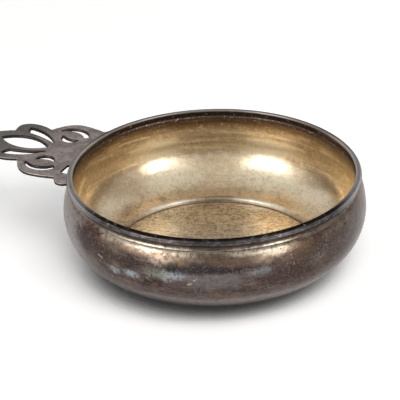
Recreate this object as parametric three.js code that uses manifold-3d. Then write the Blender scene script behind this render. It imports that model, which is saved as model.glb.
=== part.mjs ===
// A shallow silver porringer: a round bellied bowl on a flat sunk base, a half-round wire
// round its mouth, and one flat pierced handle soldered on just under that wire.
// Millimetres, +Z up. The origin is on the bowl's axis, on the plane it stands on.
// The handle points along -X.

import * as THREE from 'three';
import { mergeVertices } from 'three/addons/utils/BufferGeometryUtils.js';
import Module from 'manifold-3d';

const wasm = await Module();
wasm.setup();

// Bowl
const bowlHeight = 41.4;
const wall = 1.0;
const floorThickness = 1.2;
const bellyRadius = 66.6;
const bellyDepth = 16.7;
const shoulderDepth = 5.4;
const shoulderSpread = 3.8;
const shoulderHeight = 11.4;
const underCurveWidth = 22.3;
const underCurveHeight = 22.4;
const baseRadius = 47.4;
const baseDraft = 0.4;
const neckRadius = 63.2;
const neckHollow = 0.35;

// Wire round the mouth
const wireWidth = 2.8;
const wireHeight = 3.1;
const wireCrownHeight = 1.6;
const wireCrownWidth = 1.9;
const wireInnerRound = 0.5;
const wireOverhangInside = 0.5;

// Handle plate: lengths run outward from its root circle, widths from its centre line
const plateThickness = 1.4;
const plateDepthUnderRim = 4.7;
const plateRise = THREE.MathUtils.degToRad(2);
const rootHalfWidth = 11.2;
const rootSlotReach = 2.9;
const rootSlotEndHalfWidth = 19.5;
const rootSlotRound = 1.2;
const earTipReach = -1.9;
const earTipHalfWidth = 29.0;
const earEndHalfLength = 2.8;
const earEndBulge = 1.2;
const shoulderStartReach = 3.4;
const shoulderStartHalfWidth = 24.4;
const shoulderPeakReach = 15.0;
const shoulderHalfWidth = 26.2;
const firstNotchReach = 26.5;
const firstNotchHalfWidth = 16.1;
const lobePeakReach = 34.5;
const lobeHalfWidth = 18.2;
const lobeEndReach = 42.1;
const lobeEndHalfWidth = 12.5;
const secondNotchReach = 41.5;
const secondNotchHalfWidth = 8.4;
const waistReach = 50.5;
const waistHalfWidth = 4.0;
const endPeakReach = 59.0;
const endHalfWidth = 9.3;
const tipReach = 69.0;

// Piercings in the handle, measured in the same way
const ovalReach = 19.6;
const ovalLength = 24.0;
const ovalHalfWidth = 5.2;
const outerSlotNearReach = 7.5;
const outerSlotLength = 14.2;
const outerSlotHalfWidth = 17.5;
const outerSlotBulge = 4.2;
const outerSlotHollow = 2.9;
const outerSlotNearEndReach = 8.9;
const outerSlotNearEndHalfWidth = 15.1;
const outerSlotFarEndReach = 21.1;
const outerSlotFarEndHalfWidth = 16.8;
const innerSlotNearReach = 10.1;
const innerSlotNearHalfWidth = 11.2;
const innerSlotFarReach = 18.7;
const innerSlotFarHalfWidth = 12.6;
const innerSlotBulge = 3.9;
const innerSlotHollow = 0.8;
const innerSlotTipWidth = 0.7;
const sideSlotReach = 18.5;
const sideSlotStartHalfWidth = 4.2;
const sideSlotOuterEndReach = 36.1;
const sideSlotOuterEndHalfWidth = 13.8;
const sideSlotInnerEndReach = 34.0;
const sideSlotInnerEndHalfWidth = 9.2;
const sideSlotOuterBulge = 2.4;
const sideSlotInnerBulge = 0.8;
const slotEndBulge = 0.5;
const hangingHoleFromTip = 8.8;
const hangingHoleRadius = 3.6;
const hangingHolePoint = 6.6;

// Solder and fits
const seatClearance = 0.3;
const solderLeg = 1.5;
const solderEndGap = 0.5;
const earSolderEndHalfWidth = 26.5;

// Smoothness
const turnSteps = 72;
const neckSteps = 4;
const shoulderSteps = 7;
const underSteps = 12;
const wireSteps = 4;
const curveSteps = 6;
const chordError = 0.03;

// Looks, as colour, roughness and metalness
const wornSilver = { color: 0x8a7565, roughness: 0.32, metalness: 1.0 };
const darkSilver = { color: 0x4c4444, roughness: 0.3, metalness: 1.0 };
const greySilver = { color: 0x6f6662, roughness: 0.45, metalness: 1.0 };
const solderGrey = { color: 0x6b6a60, roughness: 0.5, metalness: 1.0 };

// Places worked out from the sizes
const wireSeat = bowlHeight - wireHeight;
const wireInnerRadius = neckRadius - wall - wireOverhangInside;
const wireOuterRadius = wireInnerRadius + wireWidth;
const rootCircle = neckRadius + seatClearance;
const plateTop = bowlHeight - plateDepthUnderRim;
const hangingHoleReach = tipReach - hangingHoleFromTip;

// Points of an elliptical arc between two angles, the first point left out
function ellipsePoints(centreR, centreZ, halfWidth, halfHeight, from, to, steps) {
  const points = [];
  for (let i = 1; i <= steps; i++) {
    const angle = from + ((to - from) * i) / steps;
    points.push(new THREE.Vector2(
      centreR + halfWidth * Math.cos(angle),
      centreZ + halfHeight * Math.sin(angle),
    ));
  }
  return points;
}

// Outer radius of the upper belly at a depth below the rim
function shoulderRadiusAt(depth) {
  const share = (bellyDepth - depth) / shoulderHeight;
  return bellyRadius - shoulderSpread * (1 - Math.sqrt(1 - share * share));
}

// The bowl's outer line, from under the wire down to the base
function bowlOuterLine() {
  const line = [];
  const neckEnd = shoulderRadiusAt(shoulderDepth);
  for (let i = 0; i < neckSteps; i++) {
    const share = i / neckSteps;
    const straight = neckRadius + (neckEnd - neckRadius) * share;
    const depth = wireHeight + (shoulderDepth - wireHeight) * share;
    line.push(new THREE.Vector2(straight - neckHollow * Math.sin(Math.PI * share), bowlHeight - depth));
  }
  for (let i = 0; i <= shoulderSteps; i++) {
    const share = (i / shoulderSteps) ** 1.5;
    const depth = shoulderDepth + (bellyDepth - shoulderDepth) * share;
    line.push(new THREE.Vector2(shoulderRadiusAt(depth), bowlHeight - depth));
  }
  const centre = bellyRadius - underCurveWidth;
  const end = -Math.acos((baseRadius - centre) / underCurveWidth);
  const bellyZ = bowlHeight - bellyDepth;
  line.push(...ellipsePoints(centre, bellyZ, underCurveWidth, underCurveHeight, 0, end, underSteps));
  return line;
}

// The same line moved sideways by a distance, outward where the distance is positive
function offsetLine(line, distance) {
  return line.map((point, i) => {
    const before = line[Math.max(i - 1, 0)];
    const after = line[Math.min(i + 1, line.length - 1)];
    const along = after.clone().sub(before).normalize();
    return new THREE.Vector2(point.x - along.y * distance, point.y + along.x * distance);
  });
}

// A solid of revolution about Z from a profile of (radius, height) points
function turned(profile) {
  const geometry = new THREE.LatheGeometry(profile, turnSteps);
  geometry.rotateX(Math.PI / 2);
  return geometry;
}

function makeBowl() {
  const outer = bowlOuterLine();
  const inner = offsetLine(outer, -wall);
  inner[0].set(neckRadius - wall, wireSeat);
  const stepRadius = baseRadius - wall;
  inner.at(-1).x = stepRadius;
  return turned([
    new THREE.Vector2(0, 0),
    new THREE.Vector2(baseRadius - baseDraft, 0),
    ...outer.reverse(),
    ...inner,
    new THREE.Vector2(stepRadius - baseDraft, floorThickness),
    new THREE.Vector2(0, floorThickness),
  ]);
}

function makeWire() {
  const quarter = Math.PI / 2;
  const crownZ = bowlHeight - wireCrownHeight;
  const crownCentre = wireOuterRadius - wireCrownWidth;
  const underHeight = wireHeight - wireCrownHeight;
  const underWidth = wireOuterRadius - neckRadius;
  const roundCentre = wireInnerRadius + wireInnerRound;
  const roundZ = bowlHeight - wireInnerRound;
  return turned([
    new THREE.Vector2(wireInnerRadius, wireSeat),
    new THREE.Vector2(neckRadius, wireSeat),
    ...ellipsePoints(neckRadius, crownZ, underWidth, underHeight, -quarter, 0, wireSteps),
    ...ellipsePoints(crownCentre, crownZ, wireCrownWidth, wireCrownHeight, 0, quarter, wireSteps),
    new THREE.Vector2(roundCentre, bowlHeight),
    ...ellipsePoints(roundCentre, roundZ, wireInnerRound, wireInnerRound, quarter, 2 * quarter, 2),
    new THREE.Vector2(wireInnerRadius, wireSeat),
  ]);
}

// A point of the plate, in the plane of the plate
function at(reach, halfWidth) {
  return [rootCircle + reach, halfWidth];
}

// Draws a circular arc from the path's last point, its middle moved to the left by the bulge
function arcTo(path, reach, halfWidth, bulge) {
  const from = path.currentPoint.clone();
  const to = new THREE.Vector2(...at(reach, halfWidth));
  const half = from.distanceTo(to) / 2;
  const radius = (half * half + bulge * bulge) / (2 * bulge);
  const left = new THREE.Vector2(from.y - to.y, to.x - from.x).normalize();
  const centre = from.clone().add(to).multiplyScalar(0.5).addScaledVector(left, bulge - radius);
  const sweep = 4 * Math.atan(bulge / half);
  const chordSweep = 2 * Math.acos(1 - chordError / Math.abs(radius));
  const chords = Math.ceil(Math.abs(sweep) / chordSweep);
  const start = Math.atan2(from.y - centre.y, from.x - centre.x);
  for (let i = 1; i < chords; i++) {
    const angle = start - (sweep * i) / chords;
    path.lineTo(
      centre.x + Math.abs(radius) * Math.cos(angle),
      centre.y + Math.abs(radius) * Math.sin(angle),
    );
  }
  path.lineTo(to.x, to.y);
}

// The points of a closed path, each given once
function closedPoints(path) {
  const points = path.getPoints(curveSteps);
  return points.filter((point, i) => point.distanceTo(points[(i + 1) % points.length]) > chordError);
}

// One half of the plate's outline, from inside the bowl on the centre line to the tip
function halfOutline() {
  const path = new THREE.Path();
  const inside = -(rootCircle - baseRadius);
  path.moveTo(...at(inside, 0));
  path.lineTo(...at(inside, rootHalfWidth));

  // Slot between the plate and the bowl
  path.lineTo(...at(rootSlotReach - rootSlotRound, rootHalfWidth));
  arcTo(path, rootSlotReach, rootHalfWidth + rootSlotRound, -rootSlotRound * 0.29);
  path.lineTo(...at(rootSlotReach, rootSlotEndHalfWidth - rootSlotRound));
  arcTo(path, rootSlotReach - rootSlotRound, rootSlotEndHalfWidth, -rootSlotRound * 0.29);
  path.lineTo(...at(inside, rootSlotEndHalfWidth));

  // Ear that lies along the bowl
  const earEndHalfWidth = earTipHalfWidth - earEndBulge;
  path.lineTo(...at(inside, earEndHalfWidth - 2 * earEndBulge));
  path.lineTo(...at(earTipReach - earEndHalfLength, earEndHalfWidth));
  arcTo(path, earTipReach + earEndHalfLength, earEndHalfWidth, earEndBulge);
  path.lineTo(...at(shoulderStartReach, shoulderStartHalfWidth));

  // Shoulder
  path.quadraticCurveTo(
    ...at((shoulderStartReach + shoulderPeakReach) / 2, shoulderHalfWidth),
    ...at(shoulderPeakReach, shoulderHalfWidth),
  );
  const shoulderRun = firstNotchReach - shoulderPeakReach;
  path.bezierCurveTo(
    ...at(shoulderPeakReach + 0.5 * shoulderRun, shoulderHalfWidth),
    ...at(firstNotchReach - 0.2 * shoulderRun, firstNotchHalfWidth + 0.38 * shoulderRun),
    ...at(firstNotchReach, firstNotchHalfWidth),
  );

  // Second lobe
  const lobeRun = lobePeakReach - firstNotchReach;
  path.bezierCurveTo(
    ...at(firstNotchReach + 0.3 * lobeRun, firstNotchHalfWidth + 0.15 * lobeRun),
    ...at(lobePeakReach - 0.35 * lobeRun, lobeHalfWidth),
    ...at(lobePeakReach, lobeHalfWidth),
  );
  path.bezierCurveTo(
    ...at((lobePeakReach + lobeEndReach) / 2, lobeHalfWidth),
    ...at(lobeEndReach, (lobeHalfWidth * 2 + lobeEndHalfWidth) / 3),
    ...at(lobeEndReach, lobeEndHalfWidth),
  );
  path.quadraticCurveTo(
    ...at(lobeEndReach, (lobeEndHalfWidth + secondNotchHalfWidth) / 2),
    ...at(secondNotchReach, secondNotchHalfWidth),
  );

  // Crossed straps, down to the waist
  const strapRun = waistReach - secondNotchReach;
  path.bezierCurveTo(
    ...at(secondNotchReach + 0.35 * strapRun, secondNotchHalfWidth - 0.13 * strapRun),
    ...at(waistReach - 0.35 * strapRun, waistHalfWidth),
    ...at(waistReach, waistHalfWidth),
  );

  // Rounded end
  path.bezierCurveTo(
    ...at(waistReach + 0.3 * (endPeakReach - waistReach), waistHalfWidth),
    ...at(endPeakReach - 0.55 * (endPeakReach - waistReach), endHalfWidth),
    ...at(endPeakReach, endHalfWidth),
  );
  path.bezierCurveTo(
    ...at(endPeakReach + 0.55 * (tipReach - endPeakReach), endHalfWidth),
    ...at(tipReach, 0.55 * endHalfWidth),
    ...at(tipReach, 0),
  );
  return path.getPoints(curveSteps);
}

// Crescent round the outside of the scroll's eye
function outerSlot() {
  const path = new THREE.Path();
  path.moveTo(...at(outerSlotNearReach, outerSlotHalfWidth));
  arcTo(path, outerSlotNearReach + outerSlotLength, outerSlotHalfWidth, outerSlotBulge);
  arcTo(path, outerSlotFarEndReach, outerSlotFarEndHalfWidth, slotEndBulge / 2);
  arcTo(path, outerSlotNearEndReach, outerSlotNearEndHalfWidth, -outerSlotHollow);
  arcTo(path, outerSlotNearReach, outerSlotHalfWidth, slotEndBulge);
  return closedPoints(path);
}

// Half-moon on the inner side of the scroll's eye
function innerSlot() {
  const path = new THREE.Path();
  path.moveTo(...at(innerSlotNearReach, innerSlotNearHalfWidth));
  arcTo(path, innerSlotNearReach + innerSlotTipWidth, innerSlotNearHalfWidth, innerSlotTipWidth / 2);
  arcTo(path, innerSlotFarReach - innerSlotTipWidth, innerSlotFarHalfWidth, -innerSlotHollow);
  arcTo(path, innerSlotFarReach, innerSlotFarHalfWidth, innerSlotTipWidth / 2);
  arcTo(path, innerSlotNearReach, innerSlotNearHalfWidth, innerSlotBulge);
  return closedPoints(path);
}

// Long tapered slot between the pointed oval and the strap of the second lobe
function sideSlot() {
  const path = new THREE.Path();
  path.moveTo(...at(sideSlotReach, sideSlotStartHalfWidth));
  arcTo(path, sideSlotOuterEndReach, sideSlotOuterEndHalfWidth, sideSlotOuterBulge);
  arcTo(path, sideSlotInnerEndReach, sideSlotInnerEndHalfWidth, slotEndBulge);
  arcTo(path, sideSlotReach, sideSlotStartHalfWidth, -sideSlotInnerBulge);
  return closedPoints(path);
}

// Pointed oval on the centre line
function pointedOval() {
  const path = new THREE.Path();
  path.moveTo(...at(ovalReach, 0));
  arcTo(path, ovalReach + ovalLength, 0, ovalHalfWidth);
  arcTo(path, ovalReach, 0, ovalHalfWidth);
  return closedPoints(path);
}

// Drop-shaped hole to hang it by, its point towards the bowl
function hangingHole() {
  const path = new THREE.Path();
  const open = Math.acos(hangingHoleRadius / hangingHolePoint);
  const [centre] = at(hangingHoleReach, 0);
  path.moveTo(centre - hangingHolePoint, 0);
  path.absarc(centre, 0, hangingHoleRadius, Math.PI + open, Math.PI - open, false);
  return closedPoints(path);
}

function mirrored(points) {
  return points.map((p) => new THREE.Vector2(p.x, -p.y)).reverse();
}

// Turns a closed geometry into a solid that can be cut
function toSolid(geometry) {
  const bare = geometry.clone();
  bare.deleteAttribute('normal');
  bare.deleteAttribute('uv');
  const merged = mergeVertices(bare, 1e-4);
  return new wasm.Manifold(new wasm.Mesh({
    numProp: 3,
    vertProperties: new Float32Array(merged.attributes.position.array),
    triVerts: new Uint32Array(merged.index.array),
  }));
}

function toGeometry(solid) {
  const mesh = solid.getMesh();
  const geometry = new THREE.BufferGeometry();
  const positions = new Float32Array(mesh.vertProperties);
  geometry.setAttribute('position', new THREE.BufferAttribute(positions, 3));
  geometry.setIndex(new THREE.BufferAttribute(new Uint32Array(mesh.triVerts), 1));
  geometry.computeVertexNormals();
  return geometry;
}

// Moves a geometry from the plane of the plate to its place on the bowl
function placeOnBowl(geometry) {
  geometry.translate(-rootCircle, 0, 0);
  geometry.rotateY(-plateRise);
  geometry.translate(rootCircle, 0, plateTop);
  geometry.rotateZ(Math.PI);
  return geometry;
}

// The filled shape of the bowl's outside, with the clearance round it
function bowlSpace() {
  const line = offsetLine(bowlOuterLine(), seatClearance);
  const top = line[0];
  const bottom = line.at(-1);
  return toSolid(turned([
    new THREE.Vector2(0, bottom.y),
    ...line.reverse(),
    new THREE.Vector2(top.x, bowlHeight),
    new THREE.Vector2(0, bowlHeight),
  ]));
}

// A straight-sided solid from a closed line, running through the plate's thickness and past it
function throughPlate(points, past) {
  const depth = plateThickness + 2 * past;
  const geometry = new THREE.ExtrudeGeometry(new THREE.Shape(points), { depth, bevelEnabled: false });
  geometry.translate(0, 0, -plateThickness - past);
  return toSolid(placeOnBowl(geometry));
}

function makeHandle() {
  const half = halfOutline();
  let plate = throughPlate([...half, ...mirrored(half.slice(1, -1))], 0);
  for (const slot of [outerSlot(), innerSlot(), sideSlot()]) {
    plate = plate.subtract(throughPlate(slot, 1)).subtract(throughPlate(mirrored(slot), 1));
  }
  plate = plate.subtract(throughPlate(pointedOval(), 1)).subtract(throughPlate(hangingHole(), 1));
  return toGeometry(plate.subtract(bowlSpace()));
}

// A stretch of the solder seam under the plate, between two widths from its centre line
function makeSolder(fromY, toY) {
  const lowest = plateTop - plateThickness - seatClearance - solderLeg;
  const radiusAt = (z) => shoulderRadiusAt(Math.max(bowlHeight - z, shoulderDepth)) + seatClearance;
  const topRadius = radiusAt(plateTop - plateThickness) + solderLeg;
  const ring = toSolid(turned([
    new THREE.Vector2(baseRadius, lowest),
    new THREE.Vector2(radiusAt(lowest), lowest),
    new THREE.Vector2((radiusAt(lowest) + topRadius) / 2, lowest + solderLeg / 3),
    new THREE.Vector2(topRadius, lowest + solderLeg),
    new THREE.Vector2(topRadius, plateTop),
    new THREE.Vector2(baseRadius, plateTop),
    new THREE.Vector2(baseRadius, lowest),
  ]));
  const underPlate = new THREE.BoxGeometry(bowlHeight, toY - fromY, plateTop);
  underPlate.translate(rootCircle, (fromY + toY) / 2, -plateThickness - seatClearance - plateTop / 2);
  const slab = toSolid(placeOnBowl(underPlate));
  return toGeometry(ring.intersect(slab).subtract(bowlSpace()));
}

function piece(name, geometry, look) {
  const mesh = new THREE.Mesh(geometry, new THREE.MeshStandardMaterial(look));
  mesh.name = name;
  return mesh;
}

const rootSolderEnd = rootHalfWidth - solderEndGap;
const earSolderStart = rootSlotEndHalfWidth + solderEndGap;

const porringer = new THREE.Group();
porringer.add(
  piece('bowl', makeBowl(), wornSilver),
  piece('rim_wire', makeWire(), darkSilver),
  piece('handle', makeHandle(), greySilver),
  piece('solder_root', makeSolder(-rootSolderEnd, rootSolderEnd), solderGrey),
  piece('solder_ear_left', makeSolder(earSolderStart, earSolderEndHalfWidth), solderGrey),
  piece('solder_ear_right', makeSolder(-earSolderEndHalfWidth, -earSolderStart), solderGrey),
);

export default porringer;
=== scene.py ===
# A worn silver porringer on a pale studio floor: a tarnished bowl with a gilded inside, a
# dark wire round its mouth and one flat pierced handle soldered on under that wire.
# Sizes and places on the object are millimetres and become metres where a mesh is made.
# Lamps and the camera are placed in metres.

import math

import bpy
import numpy as np
from mathutils import Matrix, Vector, noise
from mathutils.geometry import delaunay_2d_cdt


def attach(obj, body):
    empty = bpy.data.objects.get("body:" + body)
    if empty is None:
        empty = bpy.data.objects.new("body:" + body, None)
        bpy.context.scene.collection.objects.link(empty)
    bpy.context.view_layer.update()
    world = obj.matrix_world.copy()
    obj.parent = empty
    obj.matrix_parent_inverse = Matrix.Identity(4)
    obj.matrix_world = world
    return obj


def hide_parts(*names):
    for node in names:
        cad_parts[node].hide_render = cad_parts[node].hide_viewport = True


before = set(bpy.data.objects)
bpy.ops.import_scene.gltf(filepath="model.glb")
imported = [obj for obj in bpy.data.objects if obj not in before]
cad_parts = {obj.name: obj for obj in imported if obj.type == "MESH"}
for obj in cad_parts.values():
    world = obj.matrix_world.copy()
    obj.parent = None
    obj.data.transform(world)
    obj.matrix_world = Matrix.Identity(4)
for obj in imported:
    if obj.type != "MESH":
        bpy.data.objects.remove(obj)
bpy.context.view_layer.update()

MM = 0.001

# Bowl
BOWL_HEIGHT = 41.4
WALL = 1.0
FLOOR_THICKNESS = 1.2
BELLY_RADIUS = 66.6
BELLY_DEPTH = 16.7
SHOULDER_DEPTH = 5.4
SHOULDER_SPREAD = 3.8
SHOULDER_HEIGHT = 11.4
UNDER_CURVE_WIDTH = 22.3
UNDER_CURVE_HEIGHT = 22.4
BASE_RADIUS = 47.4
BASE_DRAFT = 0.4
BASE_CORNER_HEIGHT = 0.9
NECK_RADIUS = 63.2
NECK_HOLLOW = 0.35
BASE_ROUND = 0.7
STEP_RUN = 1.35
STEP_CORNER = 0.28
DENT_DEPTH = 0.16
DENT_SIZE = 21.0
SMALL_DENT_SIZE = 9.5
FLOOR_WAVE_DEPTH = 0.07
FLOOR_WAVE_SIZE = 14.0
SMALL_FLOOR_WAVE_SIZE = 6.0

# Fine lines turned inside the bowl: height, width and depth of each
TURNED_LINES = ((20.0, 0.55, 0.03), (27.5, 0.5, 0.012), (13.4, 0.45, 0.03))

# Wire round the mouth
WIRE_WIDTH = 2.8
WIRE_HEIGHT = 3.1
WIRE_CROWN_HEIGHT = 1.6
WIRE_CROWN_WIDTH = 1.9
WIRE_OVERHANG_INSIDE = 0.5
WIRE_INNER_ROUND = 0.5
WIRE_SEAT_BEVEL = 0.25
WIRE_GROOVE_DEPTH = 0.16
WIRE_GROOVE_WIDTH = 0.16
WIRE_GROOVE_UNDER_RIM = 1.25
WIRE_SWAY = 0.05
WIRE_SMALL_SWAY = 0.015

# Handle: lengths run outward from its root circle, widths from its centre line
PLATE_THICKNESS = 1.4
PLATE_DEPTH_UNDER_RIM = 4.7
PLATE_RISE = math.radians(2)
EDGE_ROUND = 0.34
HOLE_ROUND = 0.6
HOLE_DRAFT = 0.28
HOLE_DRAFT_WIDTH = 1.6
PLATE_WAVE = 0.09
PLATE_SMALL_WAVE = 0.04
OUTLINE_ROWS = (0.07, 0.17, EDGE_ROUND, 0.6)
HOLE_ROWS = (0.06, 0.2, 0.4, HOLE_ROUND, 0.85)
FIRST_GRID_ROW = 1.25
ROOT_HALF_WIDTH = 11.2
ROOT_SLOT_REACH = 2.9
ROOT_SLOT_END_HALF_WIDTH = 19.5
ROOT_SLOT_ROUND = 1.2
EAR_TIP_REACH = -1.9
EAR_TIP_HALF_WIDTH = 29.0
EAR_END_HALF_LENGTH = 2.8
EAR_END_BULGE = 1.2
SHOULDER_START = (3.4, 24.4)
SHOULDER_PEAK = (15.0, 26.2)
FIRST_NOTCH = (26.5, 16.1)
LOBE_PEAK = (34.5, 18.2)
LOBE_END = (42.1, 12.5)
SECOND_NOTCH = (41.5, 8.4)
WAIST = (50.5, 4.0)
END_PEAK = (59.0, 9.3)
TIP_REACH = 69.0
OVAL_REACH = 19.6
OVAL_LENGTH = 24.0
OVAL_HALF_WIDTH = 5.2
HOLE_REACH = 60.2
HOLE_RADIUS = 3.6
HOLE_POINT = 6.6

# Where the handle meets the bowl
ROOT_CIRCLE = 63.5
SEAT_GAP = 0.12
SOLDER_LEG = 1.5
SOLDER_HOLLOW = 0.62
SEAM_INSET = 0.5
EAR_SEAM_END = 26.5

# Smoothness
TURN_STEPS = 384
EDGE_SPACING = 0.5
FACE_SPACING = 1.0


# Shape of the bowl

def ellipse(centre_r, centre_z, half_width, half_height, start, end, steps):
    """Points of an elliptical arc, the first point left out."""
    points = []
    for i in range(1, steps + 1):
        angle = start + (end - start) * i / steps
        points.append((centre_r + half_width * math.cos(angle), centre_z + half_height * math.sin(angle)))
    return points


def shoulder_radius(depth):
    share = (BELLY_DEPTH - depth) / SHOULDER_HEIGHT
    return BELLY_RADIUS - SHOULDER_SPREAD * (1 - math.sqrt(max(0.0, 1 - share * share)))


def neck_radius(share):
    """Outer radius of the hollow neck. The share is 0 under the wire and 1 at the shoulder."""
    straight = NECK_RADIUS + (shoulder_radius(SHOULDER_DEPTH) - NECK_RADIUS) * share
    return straight - NECK_HOLLOW * math.sin(math.pi * share)


def outer_line():
    """The bowl's outside in (radius, height), from under the wire down to the base."""
    line = []
    for i in range(10):
        share = i / 10
        depth = WIRE_HEIGHT + (SHOULDER_DEPTH - WIRE_HEIGHT) * share
        line.append((neck_radius(share), BOWL_HEIGHT - depth))
    for i in range(27):
        depth = SHOULDER_DEPTH + (BELLY_DEPTH - SHOULDER_DEPTH) * (i / 26) ** 1.5
        line.append((shoulder_radius(depth), BOWL_HEIGHT - depth))
    centre = BELLY_RADIUS - UNDER_CURVE_WIDTH
    end = -math.acos((BASE_RADIUS - centre) / UNDER_CURVE_WIDTH)
    line += ellipse(centre, BOWL_HEIGHT - BELLY_DEPTH, UNDER_CURVE_WIDTH, UNDER_CURVE_HEIGHT, 0, end, 44)
    return line


def offset(line, distance):
    moved = []
    for i, (r, z) in enumerate(line):
        before, after = line[max(i - 1, 0)], line[min(i + 1, len(line) - 1)]
        dr, dz = after[0] - before[0], after[1] - before[1]
        length = math.hypot(dr, dz)
        moved.append((r - dz / length * distance, z + dr / length * distance))
    return moved


def rounded(points, radius_at, steps=5):
    """Rounds the corners that radius_at names by index."""
    out = []
    for i, p in enumerate(points):
        radius = radius_at.get(i)
        if radius is None:
            out.append(p)
            continue
        a, b = Vector(points[i - 1]), Vector(points[i + 1])
        corner = Vector(p)
        to_a, to_b = (a - corner).normalized(), (b - corner).normalized()
        start, end = corner + to_a * radius, corner + to_b * radius
        for k in range(steps + 1):
            t = k / steps
            q = start * (1 - t) ** 2 + corner * 2 * t * (1 - t) + end * t * t
            out.append((q.x, q.y))
    return out


def bowl_radius_at(z):
    """Outer radius of the bowl at a height, for what is fitted against it."""
    depth = BOWL_HEIGHT - z
    if depth < SHOULDER_DEPTH:
        share = (depth - WIRE_HEIGHT) / (SHOULDER_DEPTH - WIRE_HEIGHT)
        return neck_radius(min(max(share, 0.0), 1.0))
    if depth < BELLY_DEPTH:
        return shoulder_radius(depth)
    return BELLY_RADIUS


def field(x, y, z, size, seed):
    """Smooth noise from -1 to 1 with features of about that size."""
    return noise.noise(Vector((x / size + seed * 7.3, y / size - seed * 3.1, z / size + seed)))


def smooth(low, high, value):
    t = min(max((value - low) / (high - low), 0.0), 1.0)
    return t * t * (3 - 2 * t)


def new_object(name, vertices, faces):
    mesh = bpy.data.meshes.new(name)
    mesh.from_pydata([(x * MM, y * MM, z * MM) for x, y, z in vertices], [], faces)
    mesh.validate()
    mesh.polygons.foreach_set("use_smooth", [True] * len(mesh.polygons))
    mesh.update()
    obj = bpy.data.objects.new(name, mesh)
    bpy.context.scene.collection.objects.link(obj)
    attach(obj, "root")
    return obj


def turned(profile, closed, shape):
    """Vertices and faces of a solid of revolution, each point moved a little by shape.

    A profile point on the axis becomes one vertex.
    """
    vertices, rows = [], []
    for index, (r, z) in enumerate(profile):
        if r < 1e-6:
            rows.append([len(vertices)] * TURN_STEPS)
            vertices.append((0.0, 0.0, z))
            continue
        row = []
        for k in range(TURN_STEPS):
            angle = 2 * math.pi * k / TURN_STEPS
            rr, zz = shape(index, r, z, angle)
            row.append(len(vertices))
            vertices.append((rr * math.cos(angle), rr * math.sin(angle), zz))
        rows.append(row)
    faces = []
    pairs = list(zip(rows[:-1], rows[1:])) + ([(rows[-1], rows[0])] if closed else [])
    for a, b in pairs:
        for k in range(TURN_STEPS):
            n = (k + 1) % TURN_STEPS
            ring = [a[k], a[n], b[n], b[k]]
            face = [v for i, v in enumerate(ring) if v != ring[i - 1]]
            if len(face) > 2:
                faces.append(face)
    return vertices, faces


def make_bowl():
    outer = outer_line()
    inner = offset(outer, -WALL)
    inner[0] = (NECK_RADIUS - WALL, BOWL_HEIGHT - WIRE_HEIGHT)
    step_radius = BASE_RADIUS - WALL
    step_top = inner[-1][1]
    inner = [point for point in inner[:-1] if point[0] > step_radius + 0.7]
    base = [(0.0, 0.0)] + [(r, 0.0) for r in (12, 24, 34, 42, 45.5)]
    base += [(BASE_RADIUS - BASE_DRAFT, 0.0), (BASE_RADIUS, BASE_CORNER_HEIGHT)]
    base = rounded(base, {len(base) - 2: BASE_ROUND})
    under = outer[::-1]
    drop = step_top - FLOOR_THICKNESS - STEP_CORNER
    foot = ellipse(step_radius + 0.5, step_top - drop, STEP_RUN, drop, math.pi / 2, math.pi, 12)
    corner = (foot[-1][0] - STEP_CORNER, FLOOR_THICKNESS + STEP_CORNER)
    foot += ellipse(*corner, STEP_CORNER, STEP_CORNER, 0, -math.pi / 2, 4)
    foot += [(r, FLOOR_THICKNESS) for r in (44.4, 43.5, 42, 40, 38)]
    foot += [(float(r), FLOOR_THICKNESS) for r in range(36, 1, -2)] + [(0.0, FLOOR_THICKNESS)]
    profile = base + under + inner + foot
    inside_from = len(base) + len(under)

    def shape(index, r, z, angle):
        """Hammer dents all over, and inside also the turned lines and an uneven floor."""
        x, y = r * math.cos(angle), r * math.sin(angle)
        free = smooth(1.4, 8.0, z) * smooth(0.0, 4.0, BOWL_HEIGHT - WIRE_HEIGHT - z)
        dent = 0.62 * field(x, y, z, DENT_SIZE, 1) + 0.38 * field(x, y, z, SMALL_DENT_SIZE, 2)
        rr, zz = r - DENT_DEPTH * free * (0.9 + dent), z
        if index >= inside_from:
            ripple = sum(depth * math.exp(-((z - line) / width) ** 2) for line, width, depth in TURNED_LINES)
            rr -= ripple * (0.35 + 0.65 * smooth(-0.25, 0.35, field(x, y, z, 17.0, 5)))
            if z < 1.6 and r < step_radius - 1.0:
                wave = 0.5 * field(x, y, 0, FLOOR_WAVE_SIZE, 3)
                wave += 0.3 * field(x, y, 0, SMALL_FLOOR_WAVE_SIZE, 4)
                zz += FLOOR_WAVE_DEPTH * wave * smooth(step_radius, step_radius - 4.0, r)
        return rr, zz

    bowl = new_object("silver_bowl", *turned(profile, False, shape))
    # The first point lies on the axis and is one vertex, so the inside begins after these
    outside_vertices = 1 + (inside_from - 1) * TURN_STEPS
    inside = [int(min(polygon.vertices) >= outside_vertices) for polygon in bowl.data.polygons]
    bowl.data.polygons.foreach_set("material_index", inside)
    return bowl


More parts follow.
